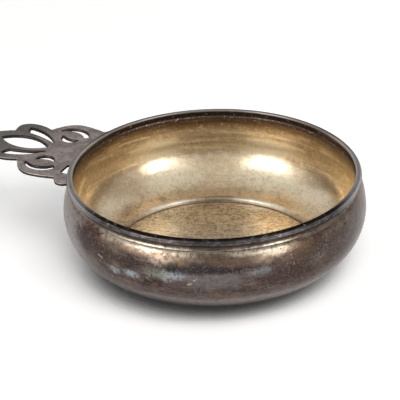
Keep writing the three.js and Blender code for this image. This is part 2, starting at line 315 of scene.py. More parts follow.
def make_wire():
    quarter = math.pi / 2
    inner_r = NECK_RADIUS - WALL - WIRE_OVERHANG_INSIDE
    outer_r = inner_r + WIRE_WIDTH
    seat = BOWL_HEIGHT - WIRE_HEIGHT
    crown_z = BOWL_HEIGHT - WIRE_CROWN_HEIGHT
    under = WIRE_HEIGHT - WIRE_CROWN_HEIGHT
    ledge = inner_r + WIRE_INNER_ROUND
    profile = [(inner_r + WIRE_SEAT_BEVEL, seat), (NECK_RADIUS - 0.6, seat), (NECK_RADIUS, seat)]
    profile += ellipse(NECK_RADIUS, crown_z, outer_r - NECK_RADIUS, under, -quarter, 0, 12)
    crown_r = outer_r - WIRE_CROWN_WIDTH
    profile += ellipse(crown_r, crown_z, WIRE_CROWN_WIDTH, WIRE_CROWN_HEIGHT, 0, quarter, 18)
    profile += [(ledge, BOWL_HEIGHT)]
    profile += ellipse(
        ledge, BOWL_HEIGHT - WIRE_INNER_ROUND, WIRE_INNER_ROUND, WIRE_INNER_ROUND, quarter, 2 * quarter, 6
    )
    profile += [(inner_r, BOWL_HEIGHT - 1.2), (inner_r, BOWL_HEIGHT - 2.2), (inner_r, seat + WIRE_SEAT_BEVEL)]

    def shape(index, r, z, angle):
        """A groove on the outer face, and the sway of a wire bent by hand."""
        x, y = r * math.cos(angle), r * math.sin(angle)
        groove = 0.0
        if r > NECK_RADIUS + 0.2:
            away = (BOWL_HEIGHT - WIRE_GROOVE_UNDER_RIM - z) / WIRE_GROOVE_WIDTH
            groove = WIRE_GROOVE_DEPTH * math.exp(-away ** 2)
        sway = WIRE_SWAY * (1 + field(x, y, 0, 26.0, 6)) + WIRE_SMALL_SWAY * (1 + field(x, y, z, 3.5, 7))
        top = WIRE_SWAY * (1 + field(x, y, 0, 30.0, 8)) * smooth(seat, BOWL_HEIGHT, z)
        return r - groove - (sway if r > NECK_RADIUS - 0.2 else 0.0), z - top

    return new_object("mouth_wire", *turned(profile, True, shape))


# Shape of the handle

def at(reach, half_width):
    return (ROOT_CIRCLE + reach, half_width)


def arc(points, reach, half_width, bulge):
    """Adds a circular arc from the last point, its middle moved to the left by the bulge."""
    a, b = Vector(points[-1]), Vector(at(reach, half_width))
    half = (b - a).length / 2
    radius = (half * half + bulge * bulge) / (2 * bulge)
    left = Vector((a.y - b.y, b.x - a.x)).normalized()
    centre = (a + b) / 2 + left * (bulge - radius)
    sweep = 4 * math.atan(bulge / half)
    count = max(2, math.ceil(abs(sweep * radius) / EDGE_SPACING))
    start = math.atan2(a.y - centre.y, a.x - centre.x)
    for i in range(1, count):
        angle = start - sweep * i / count
        points.append((centre.x + abs(radius) * math.cos(angle), centre.y + abs(radius) * math.sin(angle)))
    points.append((b.x, b.y))


def line_to(points, reach, half_width):
    a, b = Vector(points[-1]), Vector(at(reach, half_width))
    count = max(1, math.ceil((b - a).length / EDGE_SPACING))
    for i in range(1, count + 1):
        p = a.lerp(b, i / count)
        points.append((p.x, p.y))


def curve_to(points, *controls):
    """Adds a quadratic or cubic curve with these (reach, half width) control points."""
    p = [Vector(points[-1])] + [Vector(at(*c)) for c in controls]
    length = sum((b - a).length for a, b in zip(p[:-1], p[1:]))
    count = max(3, math.ceil(length / EDGE_SPACING))
    for i in range(1, count + 1):
        t = i / count
        level = p
        while len(level) > 1:
            level = [a.lerp(b, t) for a, b in zip(level[:-1], level[1:])]
        points.append((level[0].x, level[0].y))


def swing_to(points, start, end, leave, arrive):
    """Adds a cubic curve. Its controls lie off its two ends by shares of its run along the handle."""
    run = end[0] - start[0]
    first = (start[0] + leave[0] * run, start[1] + leave[1] * run)
    curve_to(points, first, (end[0] - arrive[0] * run, end[1] + arrive[1] * run), end)


def half_outline():
    """One half of the plate's outline. It starts inside the bowl, where plate_loop cuts it off."""
    points = [at(-8.0, ROOT_HALF_WIDTH)]
    line_to(points, ROOT_SLOT_REACH - ROOT_SLOT_ROUND, ROOT_HALF_WIDTH)
    arc(points, ROOT_SLOT_REACH, ROOT_HALF_WIDTH + ROOT_SLOT_ROUND, -ROOT_SLOT_ROUND * 0.29)
    line_to(points, ROOT_SLOT_REACH, ROOT_SLOT_END_HALF_WIDTH - ROOT_SLOT_ROUND)
    arc(points, ROOT_SLOT_REACH - ROOT_SLOT_ROUND, ROOT_SLOT_END_HALF_WIDTH, -ROOT_SLOT_ROUND * 0.29)
    line_to(points, -12.0, ROOT_SLOT_END_HALF_WIDTH)
    points.append(at(-12.0, EAR_TIP_HALF_WIDTH - 3 * EAR_END_BULGE))
    line_to(points, EAR_TIP_REACH - EAR_END_HALF_LENGTH, EAR_TIP_HALF_WIDTH - EAR_END_BULGE)
    arc(points, EAR_TIP_REACH + EAR_END_HALF_LENGTH, EAR_TIP_HALF_WIDTH - EAR_END_BULGE, EAR_END_BULGE)
    line_to(points, *SHOULDER_START)
    curve_to(points, ((SHOULDER_START[0] + SHOULDER_PEAK[0]) / 2, SHOULDER_PEAK[1]), SHOULDER_PEAK)
    swing_to(points, SHOULDER_PEAK, FIRST_NOTCH, (0.5, 0), (0.2, 0.38))
    swing_to(points, FIRST_NOTCH, LOBE_PEAK, (0.3, 0.15), (0.35, 0))
    curve_to(
        points,
        ((LOBE_PEAK[0] + LOBE_END[0]) / 2, LOBE_PEAK[1]),
        (LOBE_END[0], (LOBE_PEAK[1] * 2 + LOBE_END[1]) / 3),
        LOBE_END,
    )
    curve_to(points, (LOBE_END[0], (LOBE_END[1] + SECOND_NOTCH[1]) / 2), SECOND_NOTCH)
    swing_to(points, SECOND_NOTCH, WAIST, (0.35, -0.13), (0.35, 0))
    swing_to(points, WAIST, END_PEAK, (0.3, 0), (0.55, 0))
    run = TIP_REACH - END_PEAK[0]
    curve_to(points, (END_PEAK[0] + 0.55 * run, END_PEAK[1]), (TIP_REACH, 0.55 * END_PEAK[1]), (TIP_REACH, 0))
    return points


def clean_loop(points):
    """Drops points that all but repeat the one before."""
    return [p for i, p in enumerate(points) if math.dist(p, points[i - 1]) > 0.04]


def arcs(start, *steps):
    """A line of arcs from a start. Each has the reach and half width of its end, and its bulge."""
    points = [at(*start)]
    for reach, half_width, bulge in steps:
        arc(points, reach, half_width, bulge)
    return points


def piercings():
    """The closed lines of every opening cut in the plate."""
    outer = arcs((7.5, 17.5), (21.7, 17.5, 4.2), (21.1, 16.8, 0.25), (8.9, 15.1, -2.9), (7.5, 17.5, 0.5))
    inner = arcs((10.1, 11.2), (10.8, 11.2, 0.35), (18.0, 12.6, -0.8), (18.7, 12.6, 0.35), (10.1, 11.2, 3.9))
    side = arcs((18.5, 4.2), (36.1, 13.8, 2.4), (34.0, 9.2, 0.5), (18.5, 4.2, -0.8))
    loops = []
    for slot in (outer, inner, side):
        loops += [clean_loop(slot), clean_loop([(x, -y) for x, y in slot][::-1])]
    oval_end = OVAL_REACH + OVAL_LENGTH
    oval = arcs((OVAL_REACH, 0), (oval_end, 0, OVAL_HALF_WIDTH), (OVAL_REACH, 0, OVAL_HALF_WIDTH))
    open_angle = math.acos(HOLE_RADIUS / HOLE_POINT)
    centre = ROOT_CIRCLE + HOLE_REACH
    drop = [(centre - HOLE_POINT, 0.0)]
    turn = 2 * math.pi - 2 * open_angle
    count = math.ceil(turn * HOLE_RADIUS / EDGE_SPACING)
    for i in range(count + 1):
        angle = math.pi + open_angle + turn * i / count
        drop.append((centre + HOLE_RADIUS * math.cos(angle), HOLE_RADIUS * math.sin(angle)))
    hanging_hole = []
    for a, b in zip(drop, drop[1:] + drop[:1]):
        steps = max(1, math.ceil(math.dist(a, b) / EDGE_SPACING))
        hanging_hole += [tuple(Vector(a).lerp(Vector(b), i / steps)) for i in range(steps)]
    return loops + [clean_loop(oval), clean_loop(hanging_hole)]


def root_arc(start, end, radius):
    """Points between two angles on the root circle, both ends left out."""
    count = max(2, math.ceil(abs(end - start) * radius / EDGE_SPACING))
    angles = [start + (end - start) * i / count for i in range(1, count)]
    return [(radius * math.cos(angle), radius * math.sin(angle)) for angle in angles]


def plate_loop(radius):
    """The whole outline of the plate. Its root and its two ears end on the circle of that radius."""
    half = half_outline()
    outside = [math.hypot(*p) >= radius for p in half]
    parts, part = [], []
    for i, p in enumerate(half):
        if outside[i]:
            if not part and i > 0:
                part.append(on_circle(half[i - 1], p, radius))
            part.append(p)
        elif part:
            part.append(on_circle(part[-1], p, radius))
            parts.append(part)
            part = []
    parts.append(part)
    root_slot, rest = parts[0], parts[-1]
    upper = root_slot + root_arc(angle_of(root_slot[-1]), angle_of(rest[0]), radius) + rest
    lower = [(x, -y) for x, y in upper][::-1]
    bridge = root_arc(angle_of(lower[-1]), angle_of(upper[0]), radius)
    return clean_loop(upper + lower[1:] + bridge)


def on_circle(a, b, radius):
    """Where the line between a point inside and one outside a circle crosses it."""
    low, high = 0.0, 1.0
    inside_a = math.hypot(*a) < radius
    for _ in range(40):
        mid = (low + high) / 2
        p = Vector(a).lerp(Vector(b), mid)
        if (p.length < radius) == inside_a:
            low = mid
        else:
            high = mid
    p = Vector(a).lerp(Vector(b), low)
    return (p.x, p.y)


def angle_of(p):
    return math.atan2(p[1], p[0])


def inside_loop(points, loop):
    """Which of the points lie inside a closed line."""
    x, y = points[:, 0], points[:, 1]
    found = np.zeros(len(points), bool)
    a = np.array(loop)
    b = np.roll(a, -1, axis=0)
    for (x0, y0), (x1, y1) in zip(a, b):
        if y0 == y1:
            continue
        crosses = (y0 > y) != (y1 > y)
        found ^= crosses & (x < (x1 - x0) * (y - y0) / (y1 - y0) + x0)
    return found


def distance_to(points, loops):
    """Distance of each point from the nearest edge line."""
    best = np.full(len(points), 1e9)
    for loop in loops:
        a = np.array(loop)
        b = np.roll(a, -1, axis=0)
        d = b - a
        length = (d * d).sum(1)
        for start in range(0, len(points), 4000):
            p = points[start:start + 4000]
            t = ((p[:, None] - a[None]) * d[None]).sum(2) / length[None]
            t = np.clip(t, 0, 1)
            gap = p[:, None] - a[None] - t[..., None] * d[None]
            near = np.sqrt((gap * gap).sum(2)).min(1)
            best[start:start + 4000] = np.minimum(best[start:start + 4000], near)
    return best


def into_metal(loop, is_outline):
    """Unit directions across a closed line, from its edge into the metal beside it."""
    a = np.array(loop)
    along = np.roll(a, -1, axis=0) - np.roll(a, 1, axis=0)
    along /= np.linalg.norm(along, axis=1)[:, None]
    area = np.sum(a[:, 0] * np.roll(a[:, 1], -1) - np.roll(a[:, 0], -1) * a[:, 1])
    sign = 1.0 if (area > 0) == is_outline else -1.0
    return np.stack([-along[:, 1], along[:, 0]], 1) * sign


def round_off(gap, radius):
    """How far a rounded edge falls below the flat at a distance from the edge."""
    rest = np.maximum(0, radius - gap)
    return radius - np.sqrt(np.maximum(0, radius ** 2 - rest ** 2))


def free_points(outline, holes):
    """Points inside the plate: rows that follow each edge, and an even grid between them."""
    loops = [outline] + holes
    rows = []
    for loop in loops:
        for step in OUTLINE_ROWS if loop is outline else HOLE_ROWS:
            moved = np.array(loop) + into_metal(loop, loop is outline) * step
            rows.append(moved[np.abs(distance_to(moved, loops) - step) < 0.12 * step])
    low, high = np.array(outline).min(0), np.array(outline).max(0)
    grid = []
    row, y = 0, low[1]
    while y < high[1]:
        x = low[0] + (row % 2) * FACE_SPACING / 2
        while x < high[0]:
            grid.append((x, y))
            x += FACE_SPACING
        y += FACE_SPACING * 0.866
        row += 1
    grid = np.array(grid)
    free = np.concatenate(rows + [grid[distance_to(grid, loops) > FIRST_GRID_ROW]])
    return free[in_plate(free, outline, holes)]


def in_plate(points, outline, holes):
    keep = inside_loop(points, outline)
    for hole in holes:
        keep &= ~inside_loop(points, hole)
    return keep


def plate_mesh(outline, holes):
    """Points and triangles that fill the plate between its outline and its piercings."""
    loops = [outline] + holes
    edge = [p for loop in loops for p in loop]
    flat = [Vector(p) for p in edge] + [Vector(p) for p in free_points(outline, holes)]
    segments, start = [], 0
    for loop in loops:
        count = len(loop)
        segments += [(start + i, start + (i + 1) % count) for i in range(count)]
        start += count
    points, _, triangles, *_ = delaunay_2d_cdt(flat, segments, [], 0, 1e-5)
    points = np.array([(p.x, p.y) for p in points])
    keep = in_plate(points[np.array(triangles)].mean(1), outline, holes)
    return points, [t for t, kept in zip(triangles, keep) if kept]


def wall_lean(points, holes, hole_gap):
    """How far each point moves on the plate's underside, so that the piercings get wider there."""
    lean = np.zeros_like(points)
    for hole in holes:
        a = np.array(hole)
        towards = -into_metal(hole, False)
        for i, point in enumerate(points):
            away = np.hypot(*(a - point).T)
            nearest = away.argmin()
            if away[nearest] < HOLE_DRAFT_WIDTH and away[nearest] <= hole_gap[i] + 0.3:
                lean[i] = towards[nearest] * HOLE_DRAFT * (1 - away[nearest] / HOLE_DRAFT_WIDTH)
    return lean


def on_bowl(x, y, up):
    """From the plane of the plate, with a height above its top, to its place on the bowl."""
    r = x - ROOT_CIRCLE
    px = r * math.cos(PLATE_RISE) - up * math.sin(PLATE_RISE)
    pz = r * math.sin(PLATE_RISE) + up * math.cos(PLATE_RISE)
    px, pz = px + ROOT_CIRCLE, pz + BOWL_HEIGHT - PLATE_DEPTH_UNDER_RIM
    radius = math.hypot(px, y)
    least = bowl_radius_at(pz) + SEAT_GAP
    if radius < least:
        px, y = px * least / radius, y * least / radius
    return (-px, -y, pz)


def make_handle():
    outline = plate_loop(ROOT_CIRCLE + 0.05)
    holes = piercings()
    points, triangles = plate_mesh(outline, holes)
    gap = distance_to(points, [outline] + holes)
    hole_gap = distance_to(points, holes)
    drop = np.maximum(round_off(distance_to(points, [outline]), EDGE_ROUND), round_off(hole_gap, HOLE_ROUND))
    lean = wall_lean(points, holes, hole_gap)

    def turn(t):
        """Positive for a triangle that turns to the left."""
        (ax, ay), (bx, by), (cx, cy) = points[t[0]], points[t[1]], points[t[2]]
        return (bx - ax) * (cy - ay) - (by - ay) * (cx - ax)

    count = len(points)
    vertices = []
    for side in (0, 1):
        for (x, y), (dx, dy), fall, distance in zip(points, lean, drop, gap):
            wave = PLATE_WAVE * field(x, y, 0, 13.0, 11 + side)
            wave += PLATE_SMALL_WAVE * field(x, y, 0, 5.0, 13 + side)
            wave = min(0.0, wave - 0.05) * smooth(0.0, 2.0, distance)
            up = -fall + wave if side == 0 else -PLATE_THICKNESS + 0.6 * fall - wave
            vertices.append(on_bowl(x + side * dx, y + side * dy, up))
    top = [t if turn(t) > 0 else t[::-1] for t in triangles]
    faces = [tuple(t) for t in top]
    faces += [tuple(v + count for v in t[::-1]) for t in top]
    edges = dict.fromkeys((a, b) for t in top for a, b in zip(t, [*t[1:], t[0]]))
    faces += [(b, a, a + count, b + count) for a, b in edges if (b, a) not in edges]
    handle = new_object("pierced_handle", vertices, faces)
    attribute = handle.data.attributes.new("hole_gap", "FLOAT", "POINT")
    attribute.data.foreach_set("value", np.concatenate([hole_gap, hole_gap]).astype(np.float32))
    return handle


def make_seam(name, start, end, seed):
    """An uneven bead of solder in the corner between the bowl and the underside of the plate."""
    plate_under = BOWL_HEIGHT - PLATE_DEPTH_UNDER_RIM - PLATE_THICKNESS
    steps, around = 60, 9
    vertices, faces = [], []

    def depth_at(radius, y):
        return -math.sqrt(max(radius * radius - y * y, 0.0))

    for i in range(steps + 1):
        t = i / steps
        y = start + (end - start) * t
        taper = math.sin(math.pi * t) ** 0.35 if 0 < t < 1 else 0.05
        leg = SOLDER_LEG * max(0.1, taper) * (0.66 + 0.3 * field(y, seed * 5.0, 0, 2.6, seed))
        for k in range(around + 1):
            s = k / around
            z = plate_under + 0.08 - leg * (1 - s) * (1 if k else 1.1)
            out = leg * (1 - SOLDER_HOLLOW * math.sin(math.pi * s)) * s
            radius = bowl_radius_at(z) - 0.1 + out
            lifted = z + (ROOT_CIRCLE - radius) * -math.sin(PLATE_RISE)
            vertices.append((depth_at(radius, y), -y, lifted))
        radius = bowl_radius_at(plate_under) - 0.5
        vertices.append((depth_at(radius, y), -y, plate_under + 0.2))
    ring = around + 2
    for i in range(steps):
        for k in range(ring):
            n = (k + 1) % ring
            faces.append((i * ring + k, i * ring + n, (i + 1) * ring + n, (i + 1) * ring + k))
    faces.append(tuple(range(ring))[::-1])
    faces.append(tuple(steps * ring + k for k in range(ring)))
    return new_object(name, vertices, faces)


# Materials

# Directions on the bowl: from its left side to its right side, both with a painted reflection, and to its far
# side, where the wire has a painted highlight
REFLECTION_SIDES = (0.9076, 0.4191, 0.0)
FAR_SIDE = (-0.4191, 0.9076, 0.0)
WIRE_GROOVE_LOOK_HEIGHT = 40.12

# Painted glints in lines round the inside, where turned ridges catch the light: height and half width of each
GLINT_LINES = ((18.5, 0.36), (24.9, 0.30), (28.1, 0.24), (21.6, 0.16), (15.5, 0.16))

# Burnisher strokes inside, painted bright as glints: start, end, width and share of each
INSIDE_GLINT_STROKES = (
    ((-65.5, 0.9, 24.0), (-65.4, -4.6, 20.5), 1.0, 0.9),
    ((-65.4, -3.0, 22.5), (-65.2, -6.5, 19.0), 1.7, 0.6),
    ((-63.5, 15.1, 18.1), (-64.6, 9.1, 17.7), 0.5, 0.8),
    ((-64.6, 9.1, 17.7), (-64.8, 2.4, 16.2), 0.7, 0.9),
    ((-64.8, 2.4, 16.2), (-64.4, -2.3, 14.9), 0.9, 1.0),
    ((-59.8, 26.2, 18.3), (-54.7, 35.9, 19.0), 0.6, 0.9),
    ((-60.8, 23.0, 17.4), (-56.5, 32.0, 17.9), 0.35, 0.7),
    ((-60.2, 22.4, 14.3), (-58.4, 27.1, 14.5), 0.5, 0.6),
    ((8.6, 64.8, 18.9), (19.8, 62.1, 17.6), 0.55, 0.9),
    ((34.2, 55.6, 18.2), (38.3, 52.7, 17.2), 0.6, 0.9),
    ((38.3, 52.7, 17.2), (44.4, 47.0, 15.5), 0.9, 1.0),
    ((42.7, 49.8, 23.0), (47.3, 45.5, 20.9), 0.8, 0.9),
    ((40.5, 51.5, 19.5), (45.5, 46.8, 18.0), 0.4, 0.7),
    ((-62.0, 18.5, 29.8), (-59.4, 25.5, 30.2), 0.8, 0.6),
    ((-59.4, 25.5, 30.2), (-56.0, 32.2, 30.3), 1.0, 0.8),
    ((-56.0, 32.2, 30.3), (-51.6, 39.0, 30.1), 0.9, 0.7),
    ((-57.5, 31.5, 24.6), (-51.4, 40.5, 25.3), 0.9, 0.8),
    ((-51.4, 40.5, 25.3), (-44.6, 48.0, 24.7), 1.0, 0.8),
    ((-44.6, 48.0, 24.7), (-36.3, 54.6, 23.8), 0.8, 0.6),
    ((-36.3, 54.6, 23.8), (-26.7, 59.9, 24.2), 0.6, 0.5),
    ((-11.6, 64.5, 24.8), (-1.8, 65.5, 25.1), 1.2, 0.6),
    ((-1.8, 65.5, 25.1), (8.6, 64.9, 25.2), 1.0, 0.7),
    ((8.6, 64.9, 25.2), (17.9, 63.1, 24.0), 0.7, 0.6),
    ((-41.0, 51.2, 21.3), (-22.3, 61.6, 20.0), 0.7, 0.5),
    ((-63.9, 12.0, 28.3), (-61.6, 21.4, 27.5), 0.5, 0.5),
)

# The same for two strokes on the floor of the bowl, painted bright as glints, and for a few scrapes outside
FLOOR_GLINT_STROKES = (
    ((2.5, 24.6, 1.2), (8.5, 29.5, 1.2), 0.7, 0.9),
    ((-0.5, 27.5, 1.2), (2.0, 29.0, 1.2), 0.5, 0.8),
)
OUTSIDE_STROKES = (
    ((-25.6, -61.3, 25.6), (-23.2, -62.2, 24.9), 0.35, 0.9),
    ((-1.1, -66.5, 22.6), (1.5, -66.5, 21.3), 0.35, 0.9),
    ((17.0, -64.3, 21.9), (18.4, -64.0, 22.3), 0.6, 0.7),
    ((19.4, -63.6, 24.0), (20.6, -63.2, 24.6), 0.4, 0.8),
)


class Value:
    """A number that varies over a surface: an output of a node tree, with arithmetic."""

    def __init__(self, shader, socket):
        self.shader = shader
        self.socket = socket

    def __add__(self, other):
        return self.shader.math("ADD", self, other)

    def __radd__(self, other):
        return self.shader.math("ADD", other, self)

    def __sub__(self, other):
        return self.shader.math("SUBTRACT", self, other)

    def __rsub__(self, other):
        return self.shader.math("SUBTRACT", other, self)

    def __mul__(self, other):
        return self.shader.math("MULTIPLY", self, other)

    def __abs__(self):
        return self.shader.math("ABSOLUTE", self)

    def ramp(self, low, high, to_low=0.0, to_high=1.0):
        """A smooth step: to_low where this is low, to_high where it is high. Low may be the larger."""
        node = self.shader.node("MapRange")
        node.interpolation_type = "SMOOTHSTEP"
        self.shader.put(node.inputs["Value"], self)
        node.inputs["From Min"].default_value = low
        node.inputs["From Max"].default_value = high
        node.inputs["To Min"].default_value = to_low
        node.inputs["To Max"].default_value = to_high
        return Value(self.shader, node.outputs["Result"])

    def band(self, start, full, fall, end):
        """1 from full to fall, and 0 below start and above end."""
        return self.ramp(start, full) * self.ramp(end, fall)

    def centred(self, size):
        """Noise moved to run about zero, times a size."""
        return (self - 0.5) * size


def either(*masks):
    """The largest of several masks at each place."""
    together = masks[0]
    for mask in masks[1:]:
        together = mask.shader.math("MAXIMUM", together, mask)
    return together


class Shader:
    """A material's node tree, with short calls for the nodes used here.

    Its places are millimetres. A material with patches sets warp, which moves their edges.
    """

    def __init__(self, name, glare=1.0):
        self.glare = glare
        self.material = bpy.data.materials.new(name)
        self.material.use_nodes = True
        self.tree = self.material.node_tree
        self.tree.nodes.clear()
        self.place = self.vector("SCALE", self.node("TexCoord").outputs["Object"], scale=1 / MM)
        parts = self.node("SeparateXYZ")
        self.put(parts.inputs[0], self.place)
        self.x, self.y, self.z = (Value(self, part) for part in parts.outputs)

    def node(self, kind):
        return self.tree.nodes.new("ShaderNode" + kind)

    def put(self, socket, value):
        """Links a socket, or sets its value. Three numbers make an opaque colour."""
        if isinstance(value, Value):
            value = value.socket
        if isinstance(value, bpy.types.NodeSocket):
            self.tree.links.new(value, socket)
            return
        if socket.type == "RGBA":
            value = (*value, 1.0)
        socket.default_value = value

    def vector(self, operation, a, b=None, scale=None):
        node = self.node("VectorMath")
        node.operation = operation
        for socket, value in zip((node.inputs[0], node.inputs[1], node.inputs[3]), (a, b, scale)):
            if value is not None:
                self.put(socket, value)
        if operation in ("LENGTH", "DOT_PRODUCT"):
            return Value(self, node.outputs["Value"])
        return node.outputs[0]

    def math(self, operation, a, b=None):
        node = self.node("Math")
        node.operation = operation
        self.put(node.inputs[0], a)
        if b is not None:
            self.put(node.inputs[1], b)
        return Value(self, node.outputs[0])

    def combined(self, *parts):
        node = self.node("CombineXYZ")
        for socket, value in zip(node.inputs, parts):
            self.put(socket, value)
        return node.outputs[0]

    def rotated(self, *turns):
        node = self.node("VectorRotate")
        node.rotation_type = "EULER_XYZ"
        self.put(node.inputs["Vector"], self.place)
        node.inputs["Rotation"].default_value = turns
        return node.outputs[0]

    def level_place(self):
        return self.vector("MULTIPLY", self.place, (1, 1, 0))

    def noise(self, scale, detail=3.0, roughness=0.55, distortion=0.0, vector=None):
        """Noise around 0.5. The scale is features per millimetre, one number or one for each axis."""
        source = self.place if vector is None else vector
        if hasattr(scale, "__len__"):
            source = self.vector("MULTIPLY", source, scale)
            scale = 1.0
        node = self.node("TexNoise")
        self.put(node.inputs["Vector"], source)
        node.inputs["Scale"].default_value = scale
        node.inputs["Detail"].default_value = detail
        node.inputs["Roughness"].default_value = roughness
        node.inputs["Distortion"].default_value = distortion
        return Value(self, node.outputs[0])

    def mix(self, share, a, b):
        node = self.node("Mix")
        node.data_type = "RGBA"
        for socket, value in zip((node.inputs[0], node.inputs[6], node.inputs[7]), (share, a, b)):
            self.put(socket, value)
        return node.outputs[2]

    def layered(self, colour, *layers):
        """A colour under others, each laid on by its mask, in their order."""
        for mask, tint in layers:
            colour = self.mix(mask, colour, tint)
        return colour

    def patch(self, centre, size, edge):
        """1 inside a soft ellipsoid, 0 outside. Its edge is moved by the material's warp."""
        away = self.vector("DIVIDE", self.vector("SUBTRACT", self.place, centre), size)
        return (self.vector("LENGTH", away) + self.warp).ramp(1.0 + edge, 1.0 - edge)

    def patches(self, *places):
        """Several patches in one mask. Each has a centre, half sizes, an edge and perhaps a share."""
        masks = []
        for centre, size, edge, *share in places:
            mask = self.patch(centre, size, edge)
            masks.append(mask * share[0] if share else mask)
        return either(*masks)

    def spots(self, share, tint, *places):
        """One layer of a colour: a share of a tint, in patches."""
        return self.patches(*places) * share, tint

    def strokes(self, lines, wander):
        """Several strokes in one mask. Each has a start, an end, a width and a share.

        The strokes' edges wander by a noise in millimetres.
        """
        masks = []
        for start, end, width, share in lines:
            way = Vector(end) - Vector(start)
            length = way.length
            way = tuple(way / length)
            offset = self.vector("SUBTRACT", self.place, start)
            reach = self.math("MAXIMUM", self.vector("DOT_PRODUCT", offset, way), 0.0)
            reach = self.math("MINIMUM", reach, length)
            nearest = self.vector("SCALE", way, scale=reach)
            gap = self.vector("LENGTH", self.vector("SUBTRACT", offset, nearest)) + wander
            masks.append(gap.ramp(width, width * 0.35) * share)
        return either(*masks)

    def scratches(self, *kinds):
        """Fine straight scratches in several directions. Each kind has its turns and a density."""
        masks = []
        for turns, density in kinds:
            streak = self.noise((0.045, 2.2, 2.2), 2.0, 0.6, 0.0, self.rotated(*turns))
            masks.append(streak.ramp(0.70 - density, 0.78 - density))
        return either(*masks)

    def bump(self, height, strength, distance, normal=None):
        node = self.node("Bump")
        node.inputs["Strength"].default_value = strength
        node.inputs["Distance"].default_value = distance * MM
        self.put(node.inputs["Height"], height)
        if normal is not None:
            self.put(node.inputs["Normal"], normal)
        return node.outputs[0]

    def metal(self, colour, roughness, normal):
        surface = self.node("BsdfPrincipled")
        surface.inputs["Metallic"].default_value = 1.0
        surface.inputs["Specular Tint"].default_value = (self.glare, self.glare, self.glare, 1)
        for socket, value in (("Base Color", colour), ("Roughness", roughness), ("Normal", normal)):
            self.put(surface.inputs[socket], value)
        return surface.outputs[0]

    def finish(self, surface):
        self.put(self.node("OutputMaterial").inputs[0], surface)
        return self.material

    def finish_in_two(self, colour, satin, clear, clear_share, normal):
        """Metal of two glosses: a satin one, and a clear one for a share of the surface."""
        both = self.node("MixShader")
        self.put(both.inputs[0], clear_share)
        self.put(both.inputs[1], self.metal(colour, satin, normal))
        self.put(both.inputs[2], self.metal(colour, clear, normal))
        return self.finish(both.outputs[0])


def side_to_side(s):
    """-1 at the middle of the bowl's left side, 1 at the middle of its right side, both painted paler as a
    reflection.
    """
    return s.vector("DOT_PRODUCT", s.vector("NORMALIZE", s.level_place()), REFLECTION_SIDES)


def brushed_glints(s, along, across, spot):
    """A mask of long thin brush strokes along one direction of the wall, inside one patch, for painted
    glints.
    """
    flat = s.combined(
        s.vector("DOT_PRODUCT", s.place, across) * 0.5,
        s.vector("DOT_PRODUCT", s.place, along) * 0.05,
    )
    return s.noise(1.0, 3.0, 0.6, 0.0, flat).ramp(0.55, 0.64) * s.patch(*spot)


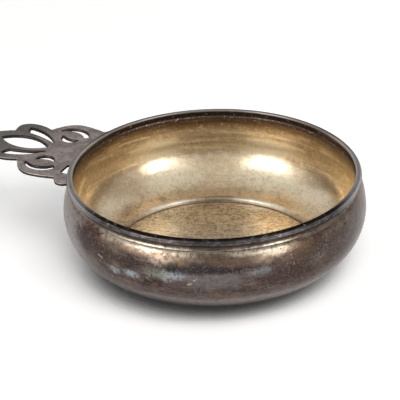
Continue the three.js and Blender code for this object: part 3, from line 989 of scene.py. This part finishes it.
def gilt_wall(s):
    """Gold with painted glints along brush lines and round the wall, painted glow by the lamps' reflections,
    paler and duller places and a dark neck.
    """
    broken = s.noise(0.06, 3.0, 0.7).ramp(0.44, 0.56)
    painted_glints = []
    for line, reach in GLINT_LINES:
        gap = abs(s.z + s.broad.centred(1.4) - line)
        painted_glints.append((gap.ramp(reach, reach * 0.3) * broken * 0.8, (0.95, 0.86, 0.68)))
    left = brushed_glints(s, (0.1, 0.87, 0.48), (-0.02, -0.48, 0.88), ((-64, 4, 22), (6, 14, 6.5), 0.5))
    right = brushed_glints(s, (0.72, -0.64, -0.27), (0.21, -0.17, 0.97), ((43, 49, 21), (11, 10, 7.5), 0.5))
    stained = s.patches(((-52.0, 13.5, 3.4), (5, 8, 2.3), 0.5), ((18.0, 50.0, 2.9), (13, 6, 1.5), 0.5))
    rust = s.noise(0.9, 5.0, 0.78, 1.0)
    rubbed = s.noise(0.42, 5.0, 0.75, 1.0)
    crumbs = s.noise(0.9, 3.0, 0.6).ramp(0.62, 0.67) * s.z.ramp(34.0, 37.0)
    return s.layered(
        s.mix(s.broad.ramp(0.35, 0.65), (0.63, 0.5, 0.32), (0.76, 0.61, 0.405)),
        (s.medium.ramp(0.46, 0.66) * 0.7, (0.5, 0.37, 0.22)),
        (s.rings.ramp(0.5, 0.64) * 0.55, (0.88, 0.76, 0.56)),
        (s.rings.ramp(0.49, 0.38) * 0.6, (0.39, 0.29, 0.17)),
        (s.z.band(17.5, 20.5, 22.0, 25.5) * 0.6, (0.86, 0.7, 0.47)),
        (s.z.band(9.5, 12.0, 13.5, 16.5) * 0.35, (0.66, 0.52, 0.35)),
        (s.z.band(6.0, 9.0, 15.0, 19.0) * 0.5, (0.92, 0.7, 0.47)),
        (s.foot * 0.85, (0.9, 0.72, 0.5)),
        (s.z.ramp(9.0, 5.0) * s.medium.ramp(0.5, 0.66) * 0.5, (0.3, 0.19, 0.1)),
        # Painted glow of the lamps' reflections: pale places low on the wall
        s.spots(
            0.92, (1.0, 0.86, 0.66),
            ((32, 50, 7.0), (15, 12, 5.0), 0.5),
            ((-57, 8, 6.4), (8, 13, 3.2), 0.5),
        ),
        s.spots(
            0.88, (1.0, 0.88, 0.64),
            ((-43, 43, 9.0), (13, 13, 5.0), 0.6),
            ((3.0, 60.5, 9.0), (17, 12, 5.0), 0.6),
        ),
        (s.neck_edge.ramp(27.5, 33.6, 0.0, 0.92), (0.2, 0.13, 0.072)),
        # Painted glints run part of the way round in lines, and along brush strokes up the two ends
        *painted_glints,
        (either(left, right) * 0.6, (1.0, 0.8, 0.46)),
        (s.swept, (1.0, 0.9, 0.62)),
        # Olive and brown places beside them
        s.spots(
            0.7, (0.46, 0.37, 0.235),
            ((-58.0, 25.5, 13.0), (7, 14, 4.2), 0.6),
            ((27.5, 57.0, 13.5), (9, 7, 3.2), 0.6),
        ),
        s.spots(
            0.55, (0.44, 0.345, 0.215),
            ((-62.0, 9.5, 14.0), (3.5, 9, 2.4), 0.5),
            ((36.5, 52.0, 14.5), (6.5, 6, 2.4), 0.5),
        ),
        (stained * 0.7, (0.6, 0.42, 0.27)),
        (stained * 0.9 * rust.ramp(0.49, 0.58), (0.2, 0.11, 0.065)),
        # Painted reflection: almost white under the two highlights, and darker between them and low on the
        # left side
        s.spots(
            0.6, (1.0, 0.88, 0.66),
            ((-45.5, 46.0, 15.0), (11.5, 12, 4.4), 0.5),
            ((-1.5, 63.8, 14.0), (15, 10, 5), 0.5),
        ),
        s.spots(
            0.45, (0.58, 0.45, 0.29),
            ((-25.0, 60.0, 16.5), (11, 9, 4.5), 0.6),
            ((-58.5, 21.5, 8.0), (8, 11, 4.5), 0.6),
        ),
        (rubbed.ramp(0.5, 0.62) * 0.36, (0.44, 0.33, 0.2)),
        (rubbed.ramp(0.47, 0.36) * 0.36, (1.0, 0.9, 0.68)),
        # Painted glow above the two highlights
        s.spots(
            0.85, (1.0, 0.9, 0.67),
            ((-50, 42.0, 22.3), (10, 13, 4.4), 0.6),
            ((-1.0, 65.3, 21.8), (14, 9, 3.6), 0.6),
        ),
        (s.neck, (0.1, 0.066, 0.052)),
        (crumbs * 0.8, (0.62, 0.57, 0.5)),
    )


def gilt_step(s):
    """Bright metal with two painted highlights, darker between them."""
    return s.layered(
        s.mix(s.noise(0.35, 3.0, 0.6).ramp(0.42, 0.68), (0.62, 0.52, 0.37), (0.34, 0.26, 0.17)),
        s.spots(0.85, (0.99, 0.94, 0.82), ((-39, 29, 2), (11, 14, 5), 0.6), ((5, 47, 2), (17, 9, 5), 0.6)),
        s.spots(0.7, (0.28, 0.235, 0.175), ((-19, 45, 2), (9, 7, 5), 0.5)),
    )


def gilt_floor(s):
    """Mottled gold with stains, creases, a pale patch and painted glints that run one way across the floor.
    """
    across = s.vector("MULTIPLY", s.rotated(0, 0, math.radians(-25)), (0.2, 0.34, 0.3))
    streak = s.noise(1.0, 6.0, 0.72, 0.8, across)
    stain = s.noise(0.22, 6.0, 0.75, 1.4)
    bright = s.patch((-24.5, 10.5, 1.2), (9.5, 8, 8), 0.6)
    s.mottled = s.noise(0.75, 4.0, 0.66, 3.2, across)
    crust = s.noise(1.5, 3.0, 0.65, 1.8, across)
    crease = abs(s.noise(0.5, 5.0, 0.62, 2.6, across).centred(1.0))
    hot_glints = s.noise(0.7, 4.0, 0.75, 1.5, across).ramp(0.54, 0.6) * bright
    glint = abs(s.noise((0.1, 0.22, 0.2), 5.0, 0.7, 1.5, s.rotated(0, 0, 1.1)).centred(1.0))
    return s.layered(
        s.mix(s.medium.ramp(0.4, 0.6), (0.8, 0.64, 0.44), (0.97, 0.83, 0.62)),
        (streak.ramp(0.51, 0.64) * 0.4, (0.98, 0.87, 0.69)),
        (streak.ramp(0.49, 0.36) * 0.45, (0.34, 0.235, 0.15)),
        (stain.ramp(0.54, 0.64) * 0.55, (0.34, 0.23, 0.145)),
        s.spots(0.6, (0.92, 0.62, 0.33), ((17, 34, 1.2), (13, 10, 8), 0.6)),
        (bright * 0.6, (0.98, 0.86, 0.67)),
        s.spots(0.45, (0.74, 0.63, 0.5), ((-8, 17, 1.2), (14, 8, 8), 0.6)),
        (s.mottled.ramp(0.52, 0.58) * 0.8, (1.0, 0.88, 0.67)),
        (s.mottled.ramp(0.48, 0.42) * 0.62, (0.34, 0.225, 0.14)),
        (crust.ramp(0.6, 0.68) * stain.ramp(0.46, 0.58) * 0.8, (0.17, 0.105, 0.06)),
        (crust.ramp(0.38, 0.33) * 0.7, (0.99, 0.91, 0.75)),
        (crease.ramp(0.026, 0.008) * 0.75, (0.22, 0.14, 0.085)),
        (hot_glints * 0.9, (1.0, 0.97, 0.92)),
        (s.strokes(FLOOR_GLINT_STROKES, s.medium.centred(1.5)), (1.0, 0.95, 0.86)),
        (glint.ramp(0.018, 0.005) * 0.7, (1.0, 0.95, 0.85)),
    )


def gilt_inside():
    s = Shader("worn_gilt")
    s.broad = s.noise(0.045, 3.0, 0.6, 0.6)
    s.medium = s.noise(0.16, 5.0, 0.65, 0.4)
    s.warp = s.medium.centred(1.2)
    radius = s.vector("LENGTH", s.level_place())
    s.rings = s.noise(1.0, 5.0, 0.72, 0.0, s.combined(s.x * 0.04, s.y * 0.04, (s.z + radius) * 0.9))
    s.foot = s.z.ramp(9.0, 5.5)
    s.neck_edge = s.z + s.medium.centred(3.6)
    s.neck = s.neck_edge.ramp(34.6, 36.6)
    s.swept = s.strokes(INSIDE_GLINT_STROKES, s.noise(0.5, 4.0, 0.7).centred(1.1))
    fine = s.noise(0.8, 5.0, 0.8)
    pits = s.noise(0.85, 3.0, 0.6).ramp(0.68, 0.73)
    marks = s.scratches(((0.3, 0.2, 0.5), 0.045), ((1.1, -0.4, 1.9), 0.035), ((0.2, 1.0, 2.7), 0.02))
    on_floor = radius.ramp(46.1, 45.4) * s.z.ramp(1.9, 1.5)
    colour = s.layered(
        gilt_wall(s),
        (radius.ramp(47.6, 46.7) * s.z.ramp(1.35, 1.75), gilt_step(s)),
        (on_floor, gilt_floor(s)),
        # The corner at the foot of the step is dark
        (s.z.ramp(1.75, 1.4) * radius.ramp(44.9, 45.3) * 0.85, (0.13, 0.085, 0.05)),
        (fine.ramp(0.5, 0.68) * 0.34, (0.28, 0.19, 0.115)),
        (pits * 0.85, (0.08, 0.05, 0.03)),
        (marks * 0.6, (0.98, 0.88, 0.7)),
    )
    over_step = s.z.ramp(1.9, 2.4)
    satin = 0.36 + s.rings.ramp(0.4, 0.75) * 0.1 + s.neck * 0.1 + s.swept * 0.22 + s.foot * 0.12 * over_step
    clear = 0.14 + s.medium.ramp(0.4, 0.7) * 0.08
    clear_share = 0.42 - on_floor * 0.2 - s.neck * 0.25 - s.foot * 0.22 * over_step
    relief = s.rings * 0.6 + fine * 0.45 - pits * 0.8 - marks * 0.5 + s.mottled * 4.0 * on_floor
    normal = s.bump(s.medium, 0.35, 0.45, s.bump(relief, 0.4, 0.08))
    return s.finish_in_two(colour, satin, clear, clear_share, normal)


def warm_lit_shoulder(s):
    """Thin warm tarnish, painted brighter where the lamps' highlights fall on the shoulder."""
    # Painted highlights: brighter along the top of the shoulder and in one place on its right
    painted_shine = (s.z + s.warp).ramp(33.6, 34.8) * s.drip.ramp(0.42, 0.52)
    return s.layered(
        s.mix(s.drip.ramp(0.44, 0.58), (0.19, 0.125, 0.08), (0.36, 0.29, 0.22)),
        (s.fine.ramp(0.52, 0.66) * 0.6, (0.5, 0.42, 0.33)),
        (painted_shine * 0.7, (0.7, 0.61, 0.5)),
        s.spots(0.8, (0.52, 0.45, 0.36), ((49.0, -42.5, 34.5), (9, 9, 2.3), 0.5)),
    )


def blue_bloom(s):
    return s.layered(
        s.mix(s.fine.ramp(0.42, 0.64), (0.17, 0.195, 0.19), (0.62, 0.68, 0.73)),
        (s.patch((3.0, -66.0, 26.2), (4.5, 6, 3), 0.6), (0.22, 0.24, 0.18)),
    )


def tarnished_outside():
    s = Shader("tarnished_silver", 0.85)
    s.drip = s.noise((0.4, 0.4, 0.3), 5.0, 0.75, 1.0)
    s.fine = s.noise(0.55, 6.0, 0.82)
    medium = s.noise(0.13, 6.0, 0.68, 0.8)
    s.warp = medium.centred(2.4) + s.drip.centred(1.6)
    blotch = s.noise((0.11, 0.11, 0.2), 5.0, 0.7, 1.0)
    grain = s.noise(1.1, 4.0, 0.8)
    streak = s.noise((0.1, 0.1, 1.0), 4.0, 0.65, 0.3)
    smear = s.noise((0.07, 0.07, 0.34), 6.0, 0.75, 2.2)
    side = side_to_side(s)
    # Thin tarnish where the lamps' highlights fall on the shoulder, painted brighter there
    thin = s.patches(
        ((5.5, -63.0, 34.4), (16, 12, 3.0), 0.35),
        ((-16.0, -61.5, 34.7), (14, 10, 1.9), 0.5, 0.7),
        ((47.5, -44.0, 34.4), (10, 9, 3.2), 0.35),
    )
    # Where the painted highlight line along the shoulder is strongest
    front_highlight = s.patches(
        ((10.0, -64.0, 36.0), (30, 20, 9), 0.5),
        ((50.0, -38.0, 36.0), (20, 24, 9), 0.5),
        ((-16.0, -61.0, 36.0), (15, 14, 9), 0.5),
    )
    bloom = s.patches(
        ((8.5, -66.0, 25.8), (9.5, 6, 2.7), 0.35),
        ((-8.0, -66.0, 22.4), (4.2, 5, 1.8), 0.5),
        ((-16.5, -64.3, 21.6), (3.0, 5, 1.7), 0.5, 0.9),
        ((60.0, -28.5, 26.5), (3.6, 6, 4.4), 0.5, 0.6),
        ((43.5, -50.0, 26.6), (5, 6, 1.8), 0.5, 0.5),
    )
    broken = (s.drip + s.fine.centred(0.6)).ramp(0.38, 0.54)
    speckled = s.noise(0.07, 3.0, 0.6).ramp(0.5, 0.6)
    pitted = s.patch((62.5, -8.0, 33.0), (7, 15, 5), 0.5)
    pits = (s.noise(0.72, 3.0, 0.65) + pitted * 0.09).ramp(0.68, 0.72)
    marks = s.scratches(((0.2, 0.5, 0.9), 0.03), ((0.8, 0.1, 2.2), 0.02))
    colour = s.layered(
        s.mix(medium.ramp(0.38, 0.62), (0.034, 0.02, 0.017), (0.125, 0.09, 0.078)),
        (s.noise(0.035, 3.0, 0.6, 0.8).ramp(0.42, 0.62) * 0.8, (0.08, 0.058, 0.053)),
        (smear.ramp(0.52, 0.6) * 0.55, (0.175, 0.128, 0.108)),
        (smear.ramp(0.48, 0.4) * 0.7, (0.034, 0.02, 0.019)),
        ((s.z + medium.centred(8.0)).ramp(20.0, 8.0) * 0.75, (0.205, 0.165, 0.148)),
        (blotch.ramp(0.55, 0.64) * 0.5, (0.2, 0.12, 0.078)),
        (streak.ramp(0.54, 0.7) * 0.35, (0.24, 0.2, 0.19)),
        (streak.ramp(0.46, 0.32) * 0.5, (0.055, 0.038, 0.038)),
        # Painted reflection: paler at the left and right sides of the belly
        (either(side.ramp(-0.72, -0.98, 0.0, 0.9), side.ramp(0.8, 0.99, 0.0, 0.55)), (0.3, 0.265, 0.262)),
        # The shoulder and the neck over it
        (s.z.band(30.4, 33.4, 35.8, 36.8) * 0.45, (0.2, 0.145, 0.095)),
        (thin * 0.9, warm_lit_shoulder(s)),
        s.spots(0.8, (0.3, 0.175, 0.085), ((13.0, -64.0, 31.0), (4.6, 5, 1.2), 0.5)),
        s.spots(0.8, (0.56, 0.41, 0.31), ((5.5, -64.8, 31.0), (4.6, 6, 1.9), 0.5)),
        s.spots(
            0.7, (0.66, 0.58, 0.45),
            ((38.0, -51.5, 35.2), (9, 8, 1.3), 0.5),
            ((-5.0, -63.4, 35.8), (12, 8, 1.1), 0.5),
        ),
        s.spots(0.6, (0.32, 0.235, 0.165), ((44.3, -48.3, 31.0), (5, 5, 1.8), 0.5)),
        # Painted highlight: a thin pale line along the turn from the neck to the shoulder
        (s.z.band(35.3, 35.7, 36.0, 36.3) * (0.12 + front_highlight * 0.62), (0.56, 0.51, 0.38)),
        # Painted shade: a dark band on the neck under the wire
        (s.z.band(36.4, 37.2, 38.4, 39.0) * 0.8, (0.045, 0.036, 0.03)),
        # Pale blue-grey bloom in broken patches, and a haze beside it
        (bloom * 0.95 * broken, blue_bloom(s)),
        s.spots(0.65, (0.155, 0.145, 0.152), ((27.0, -60.5, 24.5), (15, 9, 4.4), 0.5)),
        # Dark stains, from maroon and violet on the left to umber and brown on the right
        s.spots(0.95, (0.07, 0.026, 0.021), ((-32.0, -57.0, 31.6), (9, 7, 4.4), 0.55)),
        s.spots(0.85, (0.034, 0.023, 0.026), ((-34.0, -56.8, 29.0), (9, 8, 4.4), 0.6)),
        s.spots(0.85, (0.022, 0.029, 0.038), ((23.0, -61.5, 29.4), (20, 12, 2.0), 0.5)),
        s.spots(0.95, (0.066, 0.045, 0.043), ((49.0, -44.0, 22.5), (9, 8, 3.6), 0.45)),
        s.spots(0.8, (0.06, 0.036, 0.02), ((57.0, -33.0, 32.0), (7, 9, 3.6), 0.6)),
        s.spots(0.65, (0.052, 0.032, 0.025), ((58.0, -27.0, 27.0), (10, 20, 11), 0.6)),
        s.spots(0.7, (0.062, 0.04, 0.034), ((31.0, -57.5, 31.4), (9, 8, 1.7), 0.5)),
        s.spots(0.55, (0.075, 0.058, 0.053), ((65.0, -3.0, 30.0), (5, 17, 9), 0.5)),
        s.spots(0.7, (0.045, 0.03, 0.026), ((-20.0, -61.0, 27.5), (17, 9, 3.2), 0.55)),
        # Two paler bands low on the belly: painted reflection of the floor
        (s.z.band(7.5, 10.0, 12.0, 14.5) * 0.5, (0.36, 0.31, 0.3)),
        (s.z.band(0.8, 2.0, 4.5, 7.5) * 0.6, (0.46, 0.4, 0.385)),
        s.spots(0.75, (0.032, 0.022, 0.021), ((26.0, -60.5, 28.6), (20, 12, 1.6), 0.6)),
        s.spots(0.45, (0.105, 0.07, 0.042), ((53.0, -38.0, 32.0), (10, 10, 4.5), 0.6)),
        s.spots(0.35, (0.2, 0.115, 0.065), ((34.0, -56.5, 31.6), (8, 7, 1.8), 0.5)),
        # Specks, pits, strokes, scratches and grain
        (s.noise(0.62, 4.0, 0.75, 0.8).ramp(0.6, 0.67) * speckled * 0.6, (0.34, 0.21, 0.12)),
        (s.noise(0.8, 3.0, 0.7).ramp(0.64, 0.69) * speckled * 0.8, (0.62, 0.52, 0.4)),
        (pits, (0.02, 0.012, 0.01)),
        (s.strokes(OUTSIDE_STROKES, s.fine.centred(0.5)), (0.55, 0.46, 0.34)),
        (marks * 0.45, (0.46, 0.4, 0.35)),
        (s.fine.ramp(0.5, 0.62) * 0.7, (0.03, 0.02, 0.02)),
        (grain.ramp(0.52, 0.64) * 0.32, (0.33, 0.27, 0.23)),
    )
    satin = 0.3 + medium.ramp(0.35, 0.7) * 0.14 + s.fine.ramp(0.5, 0.8) * 0.12
    clear = 0.12 + medium.ramp(0.4, 0.7) * 0.1
    relief = s.fine * 0.55 + streak * 0.5 + grain * 0.35 - pits * 0.9 - marks * 0.4
    normal = s.bump(medium, 0.4, 0.6, s.bump(relief, 0.5, 0.1))
    return s.finish_in_two(colour, satin, clear, 0.45, normal)


def dark_wire():
    s = Shader("dark_silver", 0.4)
    fine = s.noise(1.6, 3.0, 0.7)
    streak = s.noise((0.14, 0.14, 2.6), 3.0, 0.6)
    radius = s.vector("LENGTH", s.level_place())
    side = side_to_side(s)
    ends = either(side.ramp(-0.7, -0.99), side.ramp(0.74, 0.985))
    far_side = s.vector("DOT_PRODUCT", s.place, FAR_SIDE).ramp(10.0, 50.0)
    ridge = radius.ramp(62.9, 62.2) * s.z.ramp(40.2, 40.8)
    groove = abs(s.z - WIRE_GROOVE_LOOK_HEIGHT).ramp(0.24, 0.06) * radius.ramp(63.6, 63.9)
    colour = s.layered(
        s.mix(s.noise(0.22, 4.0, 0.65, 0.5).ramp(0.38, 0.66), (0.05, 0.043, 0.042), (0.125, 0.11, 0.108)),
        # Painted reflection: the wire is paler at its two ends
        (ends * 0.85, (0.64, 0.615, 0.6)),
        (streak.ramp(0.52, 0.66) * 0.5, (0.26, 0.24, 0.232)),
        # The top is dark, its inner ridge has a painted highlight at the two ends and on the far side, and
        # the inner face is dark again
        (
            s.z.ramp(40.8, 41.1) * radius.ramp(61.95, 62.2) * ends.ramp(1.0, 0.0, 0.45, 0.95),
            (0.014, 0.011, 0.009),
        ),
        (ridge * either(ends * 0.8, far_side * 0.55), (0.5, 0.46, 0.44)),
        (radius.ramp(62.05, 61.85) * s.z.ramp(40.7, 40.3) * 0.85, (0.04, 0.03, 0.025)),
        (groove * 0.7, (0.025, 0.02, 0.02)),
        (s.noise(0.45, 4.0, 0.7).ramp(0.6, 0.7) * 0.5, (0.42, 0.4, 0.37)),
        (s.noise((0.5, 0.5, 1.2), 4.0, 0.8).ramp(0.6, 0.66) * 0.6, (0.5, 0.48, 0.45)),
        # Painted shade along the underside of the wire
        (s.z.ramp(38.9, 38.4) * 0.7, (0.03, 0.024, 0.022)),
    )
    normal = s.bump(fine * 0.5 + streak * 0.5, 0.3, 0.06)
    return s.finish(s.metal(colour, 0.2 + fine * 0.22, normal))


def grey_plate():
    s = Shader("grey_silver", 0.45)
    medium = s.noise(0.14, 5.0, 0.65, 0.5)
    fine = s.noise(0.8, 5.0, 0.78)
    grain = s.noise(1.4, 4.0, 0.75)
    outer_end = s.x.ramp(-84.0, -99.0)
    hole_gap = s.node("Attribute")
    hole_gap.attribute_name = "hole_gap"
    by_hole = (Value(s, hole_gap.outputs["Fac"]) + fine.centred(0.5)).ramp(0.75, 0.35)
    normal_now = s.node("NewGeometry").outputs["Normal"]
    flat = s.vector("DOT_PRODUCT", normal_now, (0, 0, 1))
    faces_camera = s.vector("DOT_PRODUCT", normal_now, (0.42, -0.91, 0))
    # Painted highlight on the rounded edges, away from the piercings
    edge = flat.band(0.5, 0.75, 0.85, 0.97) * (1.0 - by_hole)
    # Painted shade on the walls and on the slopes round the piercings that face the camera, over tarnish
    # round the piercings
    dark = either(abs(flat).ramp(0.5, 0.15) * 0.92, by_hole * faces_camera.ramp(0.05, 0.45) * 0.88, by_hole * 0.4)
    marks = s.scratches(((0.1, 0.0, 0.4), 0.03), ((0.0, 0.1, 2.0), 0.02))
    colour = s.layered(
        s.mix(medium.ramp(0.36, 0.66), (0.305, 0.255, 0.24), (0.52, 0.455, 0.43)),
        (outer_end * 0.72, (0.165, 0.163, 0.15)),
        (s.y.ramp(-2.0, 12.0) * 0.4 * outer_end, (0.095, 0.095, 0.092)),
        (s.noise(0.3, 4.0, 0.65).ramp(0.52, 0.68) * 0.4, (0.3, 0.235, 0.2)),
        (fine.ramp(0.5, 0.66) * 0.7, (0.07, 0.055, 0.05)),
        (grain.ramp(0.5, 0.66) * 0.5, (0.46, 0.42, 0.385)),
        # Painted highlight on the rounded outer edges, and painted shade on the walls and the camera-facing
        # slopes round the piercings, over dark tarnish in and round them
        (edge * 0.75, (0.62, 0.54, 0.48)),
        (dark, (0.01, 0.007, 0.007)),
        (marks * 0.4, (0.44, 0.38, 0.34)),
    )
    normal = s.bump(medium, 0.35, 0.45, s.bump(fine * 0.6 + grain * 0.5, 0.45, 0.08))
    return s.finish(s.metal(colour, 0.32 + fine * 0.18, normal))


def solder_metal():
    s = Shader("old_solder")
    medium = s.noise(0.5, 4.0, 0.6, 0.5)
    fine = s.noise(2.4, 3.0, 0.7)
    colour = s.layered(
        s.mix(medium.ramp(0.36, 0.66), (0.147, 0.136, 0.113), (0.294, 0.283, 0.249)),
        (fine.ramp(0.5, 0.75) * 0.5, (0.09, 0.079, 0.068)),
    )
    return s.finish(s.metal(colour, 0.38 + fine * 0.2, s.bump(medium + fine, 0.5, 0.15)))


# Pieces

bowl = make_bowl()
bowl.data.materials.append(tarnished_outside())
bowl.data.materials.append(gilt_inside())
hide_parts("bowl")

wire = make_wire()
wire.data.materials.append(dark_wire())
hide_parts("rim_wire")

handle = make_handle()
handle.data.materials.append(grey_plate())
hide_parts("handle")

solder = solder_metal()
for name, node, start, end, seed in (
    ("seam_root", "solder_root", -ROOT_HALF_WIDTH + SEAM_INSET, ROOT_HALF_WIDTH - SEAM_INSET, 21),
    ("seam_ear_left", "solder_ear_left", ROOT_SLOT_END_HALF_WIDTH + SEAM_INSET, EAR_SEAM_END, 22),
    ("seam_ear_right", "solder_ear_right", -EAR_SEAM_END, -ROOT_SLOT_END_HALF_WIDTH - SEAM_INSET, 23),
):
    seam = make_seam(name, start, end, seed)
    seam.data.materials.append(solder)
    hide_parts(node)


# Floor, light and camera

CAMERA_AZIMUTH = 25.0
WHITE = (1, 1, 1, 1)

# Floor, in millimetres. Its white is lifted more with the distance from the bowl
FLOOR_HALF_WIDTH = 4000.0
FLOOR_DROP = 0.03
SHADOW_REACH = 43
FLOOR_LIFT = 0.30
FAR_FLOOR_LIFT = 0.85
LIFT_START = 250.0
LIFT_END = 1100.0

# Lamps, in metres
LAMP_AIM_HEIGHT = 0.02
LAMP_TINT = (1.0, 0.985, 0.96)


def make_floor():
    """Pale paper with a painted contact shadow, darker close under the bowl by ambient occlusion, and its
    white is lifted where it is seen.
    """
    mesh = bpy.data.meshes.new("studio_floor")
    half = FLOOR_HALF_WIDTH
    corners = [(-half, -half), (half, -half), (half, half), (-half, half)]
    mesh.from_pydata([(x * MM, y * MM, -FLOOR_DROP * MM) for x, y in corners], [], [(0, 1, 2, 3)])
    floor = bpy.data.objects.new("studio_floor", mesh)
    bpy.context.scene.collection.objects.link(floor)
    s = Shader("pale_paper")
    near = s.node("AmbientOcclusion")
    near.samples = 8
    near.inputs["Distance"].default_value = SHADOW_REACH * MM
    # Leaned to the camera's right, where the light reaches further under the bowl
    s.put(near.inputs["Normal"], s.vector("NORMALIZE", (0.17, 0.06, 1.0)))
    open_air = Value(s, near.outputs["AO"]).ramp(0.15, 0.46, 0.06, 1.0)
    rays = s.node("LightPath")
    kinds = ("Is Camera Ray", "Is Glossy Ray", "Is Transmission Ray")
    seen = either(*(Value(s, rays.outputs[kind]) for kind in kinds))
    lift = s.vector("LENGTH", s.place).ramp(LIFT_START, LIFT_END, FLOOR_LIFT, FAR_FLOOR_LIFT)
    paper = s.node("BsdfPrincipled")
    paper.inputs["Roughness"].default_value = 0.9
    paper.inputs["Specular IOR Level"].default_value = 0.2
    paper.inputs["Emission Color"].default_value = WHITE
    s.put(paper.inputs["Base Color"], s.mix(open_air, (0.0, 0.0, 0.0), (0.93, 0.93, 0.93)))
    s.put(paper.inputs["Emission Strength"], seen * lift * open_air)
    mesh.materials.append(s.finish(paper.outputs[0]))


def soft_box(name, azimuth, elevation, distance, size, radiance, on_floor):
    """A rectangular lamp that faces the bowl. It lights the floor, or shows in the metal.

    Azimuth 0 is the camera's side, and more is to its right.
    """
    data = bpy.data.lights.new(name, "AREA")
    data.shape = "RECTANGLE"
    data.size, data.size_y = size
    data.energy = radiance * math.pi * size[0] * size[1]
    data.color = LAMP_TINT
    lamp = bpy.data.objects.new(name, data)
    bpy.context.scene.collection.objects.link(lamp)
    turn = math.radians(azimuth + CAMERA_AZIMUTH)
    rise = math.radians(elevation)
    away = Vector((math.sin(turn) * math.cos(rise), -math.cos(turn) * math.cos(rise), math.sin(rise)))
    lamp.location = away * distance + Vector((0, 0, LAMP_AIM_HEIGHT))
    lamp.rotation_euler = away.to_track_quat("Z", "Y").to_euler()
    lamp.visible_diffuse = on_floor
    lamp.visible_glossy = not on_floor


def make_room():
    """A room that is white at the horizon and greyer overhead, and gives the floor a softer light."""
    world = bpy.data.worlds.new("studio")
    bpy.context.scene.world = world
    world.use_nodes = True
    tree = world.node_tree
    tree.nodes.clear()
    kinds = ("TexCoord", "SeparateXYZ", "MapRange", "Background", "Background", "LightPath", "MixShader")
    direction, parts, rise, room, soft, path, mixer = (tree.nodes.new("ShaderNode" + kind) for kind in kinds)
    output = tree.nodes.new("ShaderNodeOutputWorld")
    rise.interpolation_type = "SMOOTHSTEP"
    for side, value in (("From Min", 0.10), ("From Max", 0.34), ("To Min", 1.0), ("To Max", 0.64)):
        rise.inputs[side].default_value = value
    room.inputs["Color"].default_value = WHITE
    soft.inputs["Color"].default_value = WHITE
    soft.inputs["Strength"].default_value = 0.45
    for source, target in (
        (direction.outputs["Generated"], parts.inputs[0]),
        (parts.outputs["Z"], rise.inputs["Value"]),
        (rise.outputs["Result"], room.inputs["Strength"]),
        (path.outputs["Is Diffuse Ray"], mixer.inputs[0]),
        (room.outputs[0], mixer.inputs[1]),
        (soft.outputs[0], mixer.inputs[2]),
        (mixer.outputs[0], output.inputs[0]),
    ):
        tree.links.new(source, target)


def make_camera():
    """A long lens, placed and turned as the photograph was taken."""
    data = bpy.data.cameras.new("camera")
    data.lens = 157.41
    data.sensor_width = 36.0
    data.clip_start = 0.05
    camera = bpy.data.objects.new("camera", data)
    bpy.context.scene.collection.objects.link(camera)
    right = Vector((0.907590, 0.419112, -0.02495)).normalized()
    forward = Vector((-0.381415, 0.798213, -0.46624)).normalized()
    up = right.cross(forward).normalized()
    camera.matrix_world = Matrix((
        (right.x, up.x, -forward.x, 0.287889),
        (right.y, up.y, -forward.y, -0.617381),
        (right.z, up.z, -forward.z, 0.385545),
        (0, 0, 0, 1),
    ))
    bpy.context.scene.camera = camera


make_floor()
soft_box("box_right", 47.6, 18.0, 1.0, (0.41, 0.57), 4.2, on_floor=False)
soft_box("box_left", -48.7, 23.0, 1.0, (0.49, 0.62), 4.2, on_floor=False)
soft_box("overhead", 30, 60, 1.2, (0.85, 0.85), 3.5, on_floor=True)
make_room()
make_camera()
bpy.context.scene.view_settings.view_transform = "Standard"
